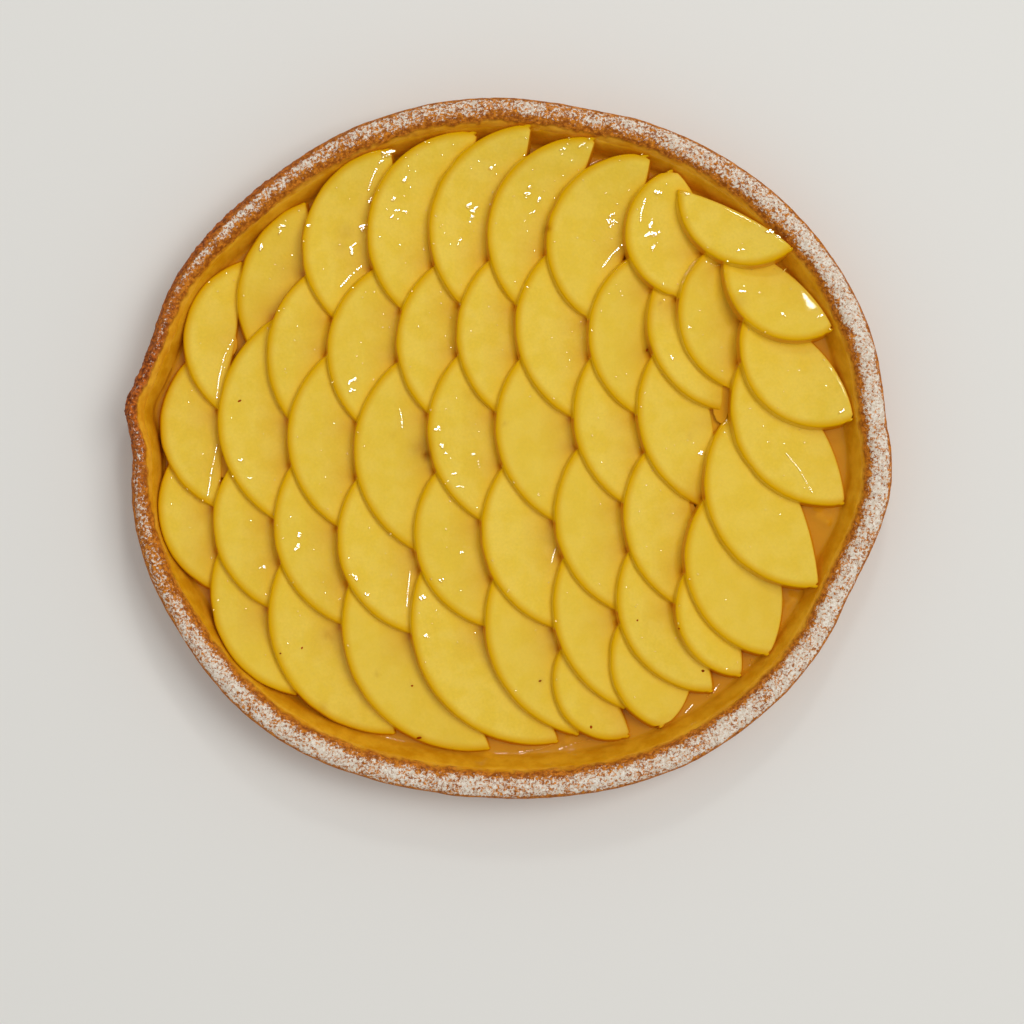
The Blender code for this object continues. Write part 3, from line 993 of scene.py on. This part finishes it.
# %% The slices' finish
def make_flesh_finish():
    """Cooked fruit under clear glaze: butter yellow, deeper towards the outer edge, painted shade near
    neighbours.
    """
    material, tree, shader, place = new_finish(
        "glazed_fruit_flesh", 0.42, coat=0.5, coat_roughness=0.06, specular=0.0, subsurface=0.06)
    flesh = mottled(tree, place, (236, 202, 76), (232, 196, 60), 140.0, 1100.0, 0.16)
    tint = calculate(tree, "MULTIPLY", mask_of(tree, "tint"), 0.45)
    rim = remap(tree, mask_of(tree, "peel"), 0.2, 3.4, 1.0, 0.0)
    colour = mix_colours(tree, tint, flesh, tone(226, 190, 56))
    # Deeper gold towards the outer edge: partly thicker glaze, partly painted shade and glow of the rounded
    # edge.
    colour = mix_colours(tree, rim, colour, tone(216, 162, 0))
    # Painted shade: hollow shade and shade near the slices laid later, the pocket's corner shade with pooled
    # glaze, the seam's crevice shadow with brown glaze, and shadow in a few gaps among the bruise marks.
    colour = cover_with(tree, colour, (
        ("hollow_shade", (204, 132, 10)), ("shade", (243, 194, 14)), ("pocket", (214, 118, 0)),
        ("gel", (214, 142, 14)), ("bruise_and_gap_shadow", (160, 82, 0)), ("seam", (190, 126, 0))))
    tree.links.new(colour, shader.inputs["Base Color"])
    dull = rim
    for mask in ("seam", "gel", "bruise_and_gap_shadow"):
        dull = calculate(tree, "MAXIMUM", dull, mask_of(tree, mask))
    tree.links.new(remap(tree, dull, 0.0, 1.0, 0.5, 0.06), shader.inputs["Coat Weight"])
    set_bump(tree, shader, relief_height(tree, place, (180.0, 0.0003), (480.0, 0.00005), (1600.0, 0.000008)))
    return material


flesh_finish = make_flesh_finish()
print("finish:", flesh_finish.name)


# %% Soft marks in the fruit, and painted shadow in a few gaps
# Each mark: place in the picture, radius in millimetres and strength. The marks at (426, 455), (421, 448),
# (548, 229) and (647, 350) are painted shadow in a gap between slices and in two small holes.
BRUISES_AND_GAP_SHADOWS = (
    (326, 634, 1.6, 0.30), (332, 640, 1.0, 0.25), (323, 707, 1.4, 0.25), (541, 682, 1.0, 0.25),
    (420, 738, 1.0, 0.30), (412, 686, 0.9, 0.20), (377, 674, 1.0, 0.20), (690, 437, 0.9, 0.25),
    (660, 303, 0.8, 0.30), (346, 232, 3.0, 0.16), (340, 246, 2.2, 0.14), (426, 455, 1.8, 0.95),
    (421, 448, 3.8, 0.45), (739, 302, 2.6, 0.16), (505, 423, 0.8, 0.28), (393, 434, 1.0, 0.15),
    (548, 229, 1.2, 0.70), (647, 350, 1.3, 0.60), (470, 395, 2.4, 0.12), (568, 448, 3.0, 0.14),
    (545, 540, 2.6, 0.14), (632, 470, 2.2, 0.14),
)


def bruise_and_gap_shadow_at(flat):
    """Strength of soft marks and painted gap shadows at points in the plan: each fades as a bell from its
    middle.
    """
    total = np.zeros(len(flat))
    for across, down, radius, strength in BRUISES_AND_GAP_SHADOWS:
        apart = np.hypot(*(flat - seen_at(across, down)).T)
        total = np.maximum(total, strength * np.exp(-((apart / radius) ** 2)))
    return total


print("soft marks:", len(BRUISES_AND_GAP_SHADOWS))


# %% Build all slices
def flesh_masks(order, flat):
    """Masks of the finish at points of a slice: way from the peeled edge, shade, pockets, tint, marks.

    Painted shade falls as exp(-way / reach) from the nearest slice laid later. The painted hollow shade and
    the pocket, pooled glaze with painted corner shade, do the same from the second nearest, so they fill the
    corner between two slices.
    """
    fruit = fruits[order]
    places, off = (flat - fruit.tip) @ fruit.along, (flat - fruit.tip) @ fruit.across
    peel = np.clip(arc_distance(places, off, fruit.length, fruit.peeled_bow), 0, 12)
    nearest, second = nearest_later(order, flat)
    return {
        "peel": peel,
        "shade": 0.62 * np.exp(-nearest / SHADE_REACH),
        "hollow_shade": 0.88 * np.exp(-second / HOLLOW_SHADE_REACH),
        "pocket": 0.8 * ramp(second, 3.0, 0.2),
        "tint": np.full(len(flat), np.random.default_rng(500 + order).uniform(0, 1)),
        "bruise_and_gap_shadow": bruise_and_gap_shadow_at(flat),
        "gel": np.zeros(len(flat)),
        "seam": np.zeros(len(flat)),
    }


slice_pieces = []
for order, fruit in enumerate(fruits):
    points, faces = closed_net(slice_net(fruit, order + 1))
    name = fruit.node.replace("apple_slice", "glazed_slice")
    slice_pieces.append(make_piece(
        name, points, faces, flesh_masks(order, points[:, :2]), flesh_finish, [fruit.node]))
print("slices:", len(slice_pieces), "faces in each:", len(faces))

# %% [markdown]
# ## Seams of glaze
#
# On the real tart the glaze was brushed on warm: it ran down every edge and set in the corner between a
# slice and the one below, so no gap shows, only a thin brown line. Here that line is painted, partly the
# glaze's own brown and partly the shadow in the crevice. Each seam is a concave section carried along an
# edge: high where it wets the slice's side, and fading out on whatever lies beneath. A corner that hangs
# above a hole gets a deeper web of glaze, coloured with painted corner shade.


# %% The level of what lies below a slice
BARE = -1


def heap_level(order, flat):
    """The highest surface laid before a slice at points in the plan, and which slice it is, or BARE."""
    level = np.full(len(flat), BED_LEVEL)
    holder = np.full(len(flat), BARE)
    for earlier in range(order):
        low, high = outlines[earlier].min(axis=0), outlines[earlier].max(axis=0)
        close = np.where(((flat > low) & (flat < high)).all(axis=1))[0]
        inside, places, share = in_fruit(fruits[earlier], flat[close])
        close = close[inside]
        top = underside(fruits[earlier], places[inside], share[inside]) + THICKNESS
        higher = top > level[close]
        level[close[higher]] = top[higher]
        holder[close[higher]] = earlier
    return level, holder


def ground_masks(holders, flat):
    """Masks of the finish at points that lie on the given slices, or on bare glaze."""
    masks = {}
    for holder in np.unique(holders):
        chosen = holders == holder
        for key, values in flesh_masks(max(holder, 0), flat[chosen]).items():
            masks.setdefault(key, np.zeros(len(flat)))[chosen] = values
    masks["gel"] = (holders == BARE).astype(float)
    masks["pocket"] = np.where(holders == BARE, 0.0, masks["pocket"])
    return masks


print("level of the fruit in the middle:", heap_level(len(fruits), np.zeros((1, 2)))[0].round(1), "mm")


def smooth_along(values, spread):
    """Values blurred along the first axis, with their ends held."""
    kernel = np.exp(-0.5 * (np.arange(-3 * spread, 3 * spread + 1) / spread) ** 2)
    kernel /= kernel.sum()
    held = np.pad(values, ((3 * spread, 3 * spread), (0, 0)), mode="edge")
    return np.apply_along_axis(np.convolve, 0, held, kernel, mode="valid")


# %% Seams along every edge
# Sizes in millimetres; the slope is the seam's width for each millimetre of drop.
SEAM_STATIONS = 90
SEAM_SHARES = np.array((-1.0, -0.5, 0.0, 0.10, 0.22, 0.40, 0.66, 1.0))
SEAM_LEAST, SEAM_MOST = 0.55, 0.95
SEAM_SLOPE = 0.26
SEAM_INNER = 0.8
SEAM_FALL = 1.5
SEAM_SINK = 0.12
SEAM_RISE = 0.3
SEAM_BODY = 1.0
# The thin line along each edge is partly brown glaze and partly painted shadow of the crevice.
LINE_PLACE, LINE_WIDTH, LINE_STRENGTH = 0.06, 0.13, 0.22
DEEP_DROP = (2.8, 5.4)


def seam_plan(fruit, side, width):
    """Points in the plan across the seam along an edge, at shares of its width outwards from the edge.

    Shares below zero lie within the slice, and count in shares of an inner width that narrows at the tips.
    """
    places, roof, floor = edge_lines(fruit, SEAM_STATIONS)
    off, hand = (roof, 1.0) if side == "peeled" else (floor, -1.0)
    out = hand * np.column_stack((-np.gradient(off), np.gradient(places)))
    out /= np.linalg.norm(out, axis=1, keepdims=True)
    inner = np.minimum(SEAM_INNER, 0.4 * (roof - floor))
    reach = SEAM_SHARES * np.where(SEAM_SHARES < 0, inner[:, None], width[:, None])
    local = np.column_stack((places, off))[:, None] + out[:, None] * reach[..., None]
    return fruit.tip + local[..., :1] * fruit.along + local[..., 1:] * fruit.across, places, inner


def seam_net(order, side):
    """A concave section along one edge: from the slice's shoulder down to the surface below it.

    Its height falls from the shoulder with a power of the way left to the seam's outer border, and a seam
    above a deeper corner is wider. Its masks are those of the ground, and a thin brown line that is partly
    the glaze's own brown and partly painted shadow of the crevice; over a deep corner the pocket gets
    painted shade.
    """
    fruit = fruits[order]
    share = np.full(SEAM_STATIONS, 1.0 if side == "peeled" else 0.0)
    flat, places, inner = seam_plan(fruit, side, np.full(SEAM_STATIONS, SEAM_LEAST))
    shoulder = underside(fruit, places, share) + thickness_at(fruit, places) - 0.5 * inner
    drop = shoulder - heap_level(order, flat[:, -1])[0]
    width = smooth_along(np.clip(SEAM_SLOPE * drop, SEAM_LEAST, SEAM_MOST)[:, None], 3)[:, 0]
    flat, places, inner = seam_plan(fruit, side, width)
    below, holders = heap_level(order, flat.reshape(-1, 2))
    masks = ground_masks(holders, flat.reshape(-1, 2))
    below = smooth_along(below.reshape(flat.shape[:2]), 2)
    fall = np.clip(1 - SEAM_SHARES, 0, 1) ** SEAM_FALL
    height = below - SEAM_SINK + np.maximum(shoulder[:, None] - below, SEAM_RISE) * fall
    top = np.concatenate((flat, height[..., None]), axis=-1)
    under = top[:, [-1, 0]] - (0, 0, SEAM_BODY)
    # The pocket rises over a deep corner: painted shade under the hanging edge, with pooled glaze.
    deep = 0.55 * ramp(drop, *DEEP_DROP)[:, None] * ramp(1 - SEAM_SHARES, 0.0, 0.5)
    masks = {key: values.reshape(height.shape) for key, values in masks.items()}
    masks["pocket"] = np.maximum(masks["pocket"], deep * (1 - masks["gel"]))
    off_line = (width[:, None] * SEAM_SHARES - LINE_PLACE) / LINE_WIDTH
    masks["seam"] = LINE_STRENGTH * np.exp(-(off_line**2))
    loop = [*range(len(SEAM_SHARES)), len(SEAM_SHARES) - 1, 0]
    return np.concatenate((top, under), axis=1), {key: values[:, loop] for key, values in masks.items()}


def join_nets(nets):
    """Several closed nets as one list of points and one of faces."""
    points, faces, start = [], [], 0
    for net in nets:
        own_points, own_faces = closed_net(net)
        faces += [[corner + start for corner in face] for face in own_faces]
        points.append(own_points)
        start += len(own_points)
    return np.vstack(points), faces


def add_seams(name, side):
    """One piece with the seams along the given edge of every slice."""
    nets, masks = [], {}
    turn = -1 if side == "peeled" else 1
    for order in range(len(fruits)):
        net, own = seam_net(order, side)
        nets.append(net[:, ::turn])
        for key, values in own.items():
            masks.setdefault(key, []).append(with_hubs(values[:, ::turn]))
    points, faces = join_nets(nets)
    masks = {key: np.concatenate(values) for key, values in masks.items()}
    return make_piece(name, points, faces, masks, flesh_finish, [])


peel_seams = add_seams("glaze_seams_outer", "peeled")
core_seams = add_seams("glaze_seams_core", "core")
print("seam faces:", len(peel_seams.data.polygons), len(core_seams.data.polygons))

# %% [markdown]
# ## Ripples and beads of glaze
#
# Where the brush left the glaze thick it set in wrinkles, and their wet flanks mirror the lamp: these are
# the white glints of the photograph. Each wrinkle is a small lens of glaze whose skin leans half way
# between the lamp and the camera, which is how a mirror must stand. Its place is read from the picture, and
# its level comes from the fruit below it. Thin lines of such lenses are the lips of glaze along an edge.


# %% One lens of glaze
class Lens(NamedTuple):
    """A small lens of glaze: its middle in the plan, half length, half width and heading in radians."""

    middle: np.ndarray
    half_length: float
    half_width: float
    heading: float


LENS_COLUMNS = 12
# Each ring of a lens: its share of the size, and its height in millimetres over the leaning plane.
LENS_RINGS = np.array(((1.0, -0.45), (1.0, -0.06), (0.93, 0.0), (0.85, 0.015), (0.4, 0.02)))
LENS_RISE = 0.28
LENS_RAGGED = 0.25


def mirror_lean(place):
    """Slopes in x and y of a skin that mirrors the glint lamp into the camera at a place in metres."""
    to_camera = np.array((PHOTO_VIEW.across, PHOTO_VIEW.along, PHOTO_VIEW.height)) - place
    to_lamp = np.array(GLINT_PLACE) - place
    normal = to_camera / np.linalg.norm(to_camera) + to_lamp / np.linalg.norm(to_lamp)
    return -normal[:2] / normal[2]


def lens_net(lens, level, lean, rng):
    """Rings of a lens from its foot to near its middle; its skin is a leaning plane with a low swell."""
    turn = np.linspace(0, 2 * math.pi, LENS_COLUMNS, endpoint=False)[:, None]
    waver = smooth_along(rng.uniform(-1, 1, (LENS_COLUMNS * 3, 1)), 1)[LENS_COLUMNS:-LENS_COLUMNS]
    forward = np.array((math.cos(lens.heading), math.sin(lens.heading)))
    aside = np.array((-forward[1], forward[0]))
    ring = lens.half_length * np.cos(turn) * forward + lens.half_width * np.sin(turn) * aside
    flat = LENS_RINGS[:, :1, None] * (ring * (1 + LENS_RAGGED * waver))
    height = level + LENS_RISE + flat @ lean + LENS_RINGS[:, 1:]
    return np.concatenate((flat + lens.middle, height[..., None]), axis=-1)


print("slopes of a mirror in the middle:", mirror_lean(np.zeros(3)).round(2))


# %% Glints read from the photograph
# Lone wrinkles: place in the picture, half length and half width in picture units, heading in degrees.
WRINKLES = (
    (405, 180, 3, 1.5, 60), (395, 198, 3, 1.5, 70), (398, 210, 2, 1.5, 20), (405, 212, 2, 1.2, 0),
    (392, 218, 2.5, 1, 60), (492, 168, 3, 1.5, 50), (471, 203, 3.5, 2, 60), (475, 209, 3, 2, 30),
    (471, 219, 2.5, 1.5, 70), (460, 242, 2.5, 1, 60), (530, 187, 2, 1.5, 60), (527, 194, 2, 1.5, 0),
    (540, 198, 3, 1.2, 60), (533, 212, 2, 1.5, 40), (562, 151, 2, 1.2, 30), (582, 147, 2.5, 1, 20),
    (612, 214, 3, 1.2, 20), (609, 220, 1.2, 3, 10), (615, 221, 1.2, 3, 80), (611, 226, 2.5, 1, 30),
    (658, 193, 3, 2.5, 0), (650, 225, 2, 4, 0), (651, 235, 4, 2.5, 20), (657, 234, 2, 4, 0),
    (652, 247, 2.2, 2.2, 0), (771, 234, 3, 2.5, 0), (778, 238, 2.5, 1.5, -40), (740, 251, 2.5, 1, 10),
    (785, 268, 3.5, 1.2, 60), (782, 315, 2.5, 1.5, 0), (818, 317, 3, 1, 20), (387, 155, 6, 2.5, 30),
    (383, 161, 3, 1.5, 50), (363, 226, 4, 2, 70), (352, 247, 4, 2.5, 60), (370, 200, 2.5, 1, 70),
    (282, 227, 4, 1.2, 70), (260, 248, 4, 1.5, 60), (353, 381, 3.5, 2, 20), (353, 390, 2, 2, 0),
    (241, 460, 1.5, 1.5, 0), (251, 478, 1.5, 1, 0), (439, 428, 2.6, 2.2, 20), (442, 446, 1.2, 3, 0),
    (446, 453, 1.2, 1.2, 0), (475, 455, 2.4, 1.6, 0), (455, 475, 1.4, 3, 20), (461, 486, 3.2, 1.2, 0),
    (699, 453, 2.4, 2.4, 0), (300, 534, 2, 3, 0), (297, 548, 3, 2, 40), (355, 575, 3.5, 1.5, -50),
    (368, 594, 2, 2, 0), (262, 567, 2, 1.5, 0), (462, 552, 1.4, 1.2, 0), (441, 580, 2, 1.8, 0),
    (423, 597, 2, 3.5, 0), (427, 635, 1.5, 2.5, 0), (310, 227, 1.5, 2.5, 0), (688, 195, 2.5, 1.2, 0),
    (672, 358, 1.2, 2.5, 0), (689, 328, 1.2, 1.2, 0), (840, 412, 2.5, 1, 50), (742, 293, 2, 2, 0),
)

# Streaks and lips: a line of places in the picture and the half width in picture units.
STREAKS = (
    ((377, 170, 372, 180, 368, 192), 1.2), ((361, 266, 350, 276, 340, 288), 1.5),
    ((624, 243, 612, 254, 602, 268), 1.3), ((645, 200, 641, 212, 640, 225), 1.3),
    ((232, 340, 224, 356, 219, 378, 217, 398), 0.9), ((217, 445, 212, 470, 208, 496), 0.9),
    ((235, 670, 248, 683, 262, 692), 0.8), ((345, 733, 368, 737, 390, 737), 0.8),
    ((415, 748, 450, 754, 486, 756), 0.8), ((520, 753, 540, 750, 556, 744), 0.8),
    ((665, 728, 682, 718, 693, 706), 0.9), ((720, 685, 714, 693, 707, 698), 0.8),
    ((742, 676, 750, 668, 753, 659), 0.8), ((590, 163, 600, 158, 610, 156), 0.9),
    ((706, 262, 716, 266, 728, 262), 0.8), ((785, 452, 800, 470, 812, 492), 0.6),
    ((410, 572, 408, 590, 407, 606), 0.9), ((556, 548, 553, 556, 552, 562), 0.8),
    ((400, 410, 402, 420, 402, 428), 0.7), ((560, 750, 575, 744, 590, 741), 0.7),
)
PICTURE_UNIT = 0.353
SPLITS = 4
STREAK_STEP = 2.4
STREAK_GAPS = 0.12
STREAK_LENS = 1.35


def wrinkle_lenses(rng):
    """Each lone wrinkle as a few smaller lenses strewn along it, so that its glint is broken."""
    lenses = []
    for across, down, long, wide, heading in WRINKLES:
        turn = math.radians(heading)
        for share in rng.uniform(-1, 1, SPLITS):
            aside = rng.uniform(-0.7, 0.7) * wide
            spot = (
                across + 1.3 * share * long * math.cos(turn) - aside * math.sin(turn),
                down - 1.3 * share * long * math.sin(turn) - aside * math.cos(turn),
            )
            length, width = rng.uniform(0.6, 1.15) * long, rng.uniform(0.45, 0.9) * wide
            own_turn = turn + rng.normal(0, 0.5)
            lenses.append(Lens(seen_at(*spot), length * PICTURE_UNIT, width * PICTURE_UNIT, own_turn))
    return lenses


def streak_lenses(rng):
    """Lenses in a row along each streak, now and then with a gap."""
    lenses = []
    for line, wide in STREAKS:
        spots = np.array(line, float).reshape(-1, 2)
        steps = np.append(0, np.cumsum(np.hypot(*np.diff(spots, axis=0).T)))
        for step in np.arange(0, steps[-1], STREAK_STEP):
            if rng.uniform() < STREAK_GAPS:
                continue
            spot, after = (
                np.array([np.interp(way, steps, spots[:, axis]) for axis in (0, 1)])
                for way in (step, step + 1)
            )
            ahead = after - spot
            heading = math.atan2(-ahead[1], ahead[0])
            size = PICTURE_UNIT * wide * rng.uniform(0.7, 1.2)
            lenses.append(Lens(seen_at(*spot), STREAK_LENS * PICTURE_UNIT, size, heading))
    return lenses


SPARKLES = 420


def sparkle_lenses(rng):
    """Tiny points of wet light all over the fruit, most of them towards the far side."""
    across, down = rng.uniform(170, 850, SPARKLES), 140 + 560 * rng.uniform(0, 1, SPARKLES) ** 1.4
    spots = seen_at(across, down).T
    on_fruit = heap_level(len(fruits), spots)[1] != BARE
    return [
        Lens(spot, rng.uniform(0.22, 0.45), rng.uniform(0.14, 0.24), rng.uniform(0, math.pi))
        for spot in spots[on_fruit]
    ]


lens_rng = np.random.default_rng(77)
lenses = wrinkle_lenses(lens_rng) + streak_lenses(lens_rng) + sparkle_lenses(lens_rng)


def make_bead_finish():
    """Clear wet glaze, smooth enough to mirror the lamp, in the yellow of the fruit below."""
    material, tree, shader, place = new_finish(
        "wet_glaze_beads", 0.30, coat=1.0, coat_roughness=0.05, specular=0.5)
    # The shade tone is painted shade beside a covering slice, as on the slices.
    colour = cover_with(tree, tone(235, 196, 62), (("shade", (216, 142, 12)), ("gel", (222, 156, 24))))
    tree.links.new(colour, shader.inputs["Base Color"])
    return material


bead_finish = make_bead_finish()


def add_lenses(name, lenses, rng):
    """One piece with all the given lenses, coloured like the slice or the bare glaze that each lies on."""
    middles = np.array([lens.middle for lens in lenses])
    levels, holders = heap_level(len(fruits), middles)
    nets = []
    for lens, level in zip(lenses, levels):
        nets.append(lens_net(lens, level, mirror_lean(np.append(lens.middle, level) * MM), rng))
    points, faces = join_nets(nets)
    each = len(points) // len(lenses)
    masks = {key: np.repeat(values, each) for key, values in ground_masks(holders, middles).items()}
    return make_piece(name, points, faces, masks, bead_finish, [])


ripples = add_lenses("glaze_ripples", lenses, lens_rng)
print("ripples:", len(lenses), "faces:", len(ripples.data.polygons))

# %% [markdown]
# ## Webs of glaze between slices
#
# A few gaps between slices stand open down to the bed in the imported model. On the real tart glaze closed
# them just below the slices' tops, as a thick amber web. Each web is a large flat lens set at that level.


# %% Webs
# Each web: place in the picture, half length and half width in picture units, heading in degrees.
WEBS = (
    (722, 402, 22, 9, 88), (714, 421, 15, 10, 65), (690, 512, 10, 6, 80), (229, 346, 13, 8, 80),
    (224, 466, 12, 7, 82),
)
WEB_SINK = 1.2
# Each web takes a little of the edge gold and of the pocket's painted corner shade and pooled glaze.
WEB_PEEL, WEB_POCKET_GLAZE_AND_SHADE = 1.5, 0.45


def add_webs(name, rng):
    """One piece with a web in each gap; its level is a little below the slices round it."""
    nets, middles = [], []
    around = np.linspace(0, 2 * math.pi, 12, endpoint=False)
    for across, down, long, wide, heading in WEBS:
        lens = Lens(seen_at(across, down), long * PICTURE_UNIT, wide * PICTURE_UNIT, math.radians(heading))
        ring = lens.middle + 1.2 * lens.half_width * np.column_stack((np.cos(around), np.sin(around)))
        level = float(np.median(heap_level(len(fruits), ring)[0])) - WEB_SINK
        nets.append(lens_net(lens, level, np.zeros(2), rng))
        middles.append(lens.middle)
    points, faces = join_nets(nets)
    count = len(points)
    masks = dict.fromkeys(("shade", "hollow_shade", "bruise_and_gap_shadow", "gel", "seam", "tint"), np.zeros(count))
    masks.update(peel=np.full(count, WEB_PEEL), pocket=np.full(count, WEB_POCKET_GLAZE_AND_SHADE))
    return make_piece(name, points, faces, masks, flesh_finish, [])


webs = add_webs("glaze_webs", lens_rng)
print("webs:", len(WEBS), "faces:", len(webs.data.polygons))

# %% [markdown]
# ## Flecks and painted hole shadows
#
# A few dark flecks lie in the glaze: bits of core and scorched crumb. The two at (547, 228) and (647, 350)
# are painted shadow in small holes. They are tiny flat lenses too.


# %% Flecks and painted hole shadows
# Each fleck: place in the picture, half length and half width in picture units, heading in degrees.
FLECKS_AND_HOLE_SHADOWS = (
    (240, 401, 2.2, 0.9, 30), (703, 671, 1.6, 1.3, 0), (302, 648, 1.4, 0.9, 60), (281, 653, 1.0, 0.8, 0),
    (678, 628, 1.0, 0.8, 0), (637, 620, 1.1, 0.8, 40), (547, 228, 1.6, 1.0, 60), (647, 350, 1.8, 0.9, 70),
    (419, 738, 2.6, 1.2, 10), (540, 681, 1.6, 0.9, 20), (591, 727, 1.2, 1.6, 0), (412, 686, 1.2, 1.0, 0),
)


def make_fleck_and_hole_shadow_finish():
    """Dark brown bits under clear glaze, and painted shadow in two small holes."""
    material, tree, shader, place = new_finish("dark_flecks_and_hole_shadows", 0.6, specular=0.0)
    brown = mottled(tree, place, (176, 68, 4), (128, 44, 2), 300.0, 1500.0, 0.5)
    tree.links.new(brown, shader.inputs["Base Color"])
    return material


def add_flecks_and_hole_shadows(name, rng):
    """One piece with all flecks and painted hole shadows, each lying flat on what is below it."""
    middles = np.array([seen_at(across, down) for across, down, *_ in FLECKS_AND_HOLE_SHADOWS])
    levels, _ = heap_level(len(fruits), middles)
    nets = []
    for (_, _, long, wide, heading), middle, level in zip(FLECKS_AND_HOLE_SHADOWS, middles, levels):
        lens = Lens(middle, long * PICTURE_UNIT, wide * PICTURE_UNIT, math.radians(heading))
        nets.append(lens_net(lens, level, np.zeros(2), rng))
    points, faces = join_nets(nets)
    return make_piece(name, points, faces, {}, make_fleck_and_hole_shadow_finish(), [])


flecks_and_hole_shadows = add_flecks_and_hole_shadows("dark_flecks_and_hole_shadows", lens_rng)
print("flecks:", len(FLECKS_AND_HOLE_SHADOWS), "faces:", len(flecks_and_hole_shadows.data.polygons))

# %% Update the scene
bpy.context.view_layer.update()
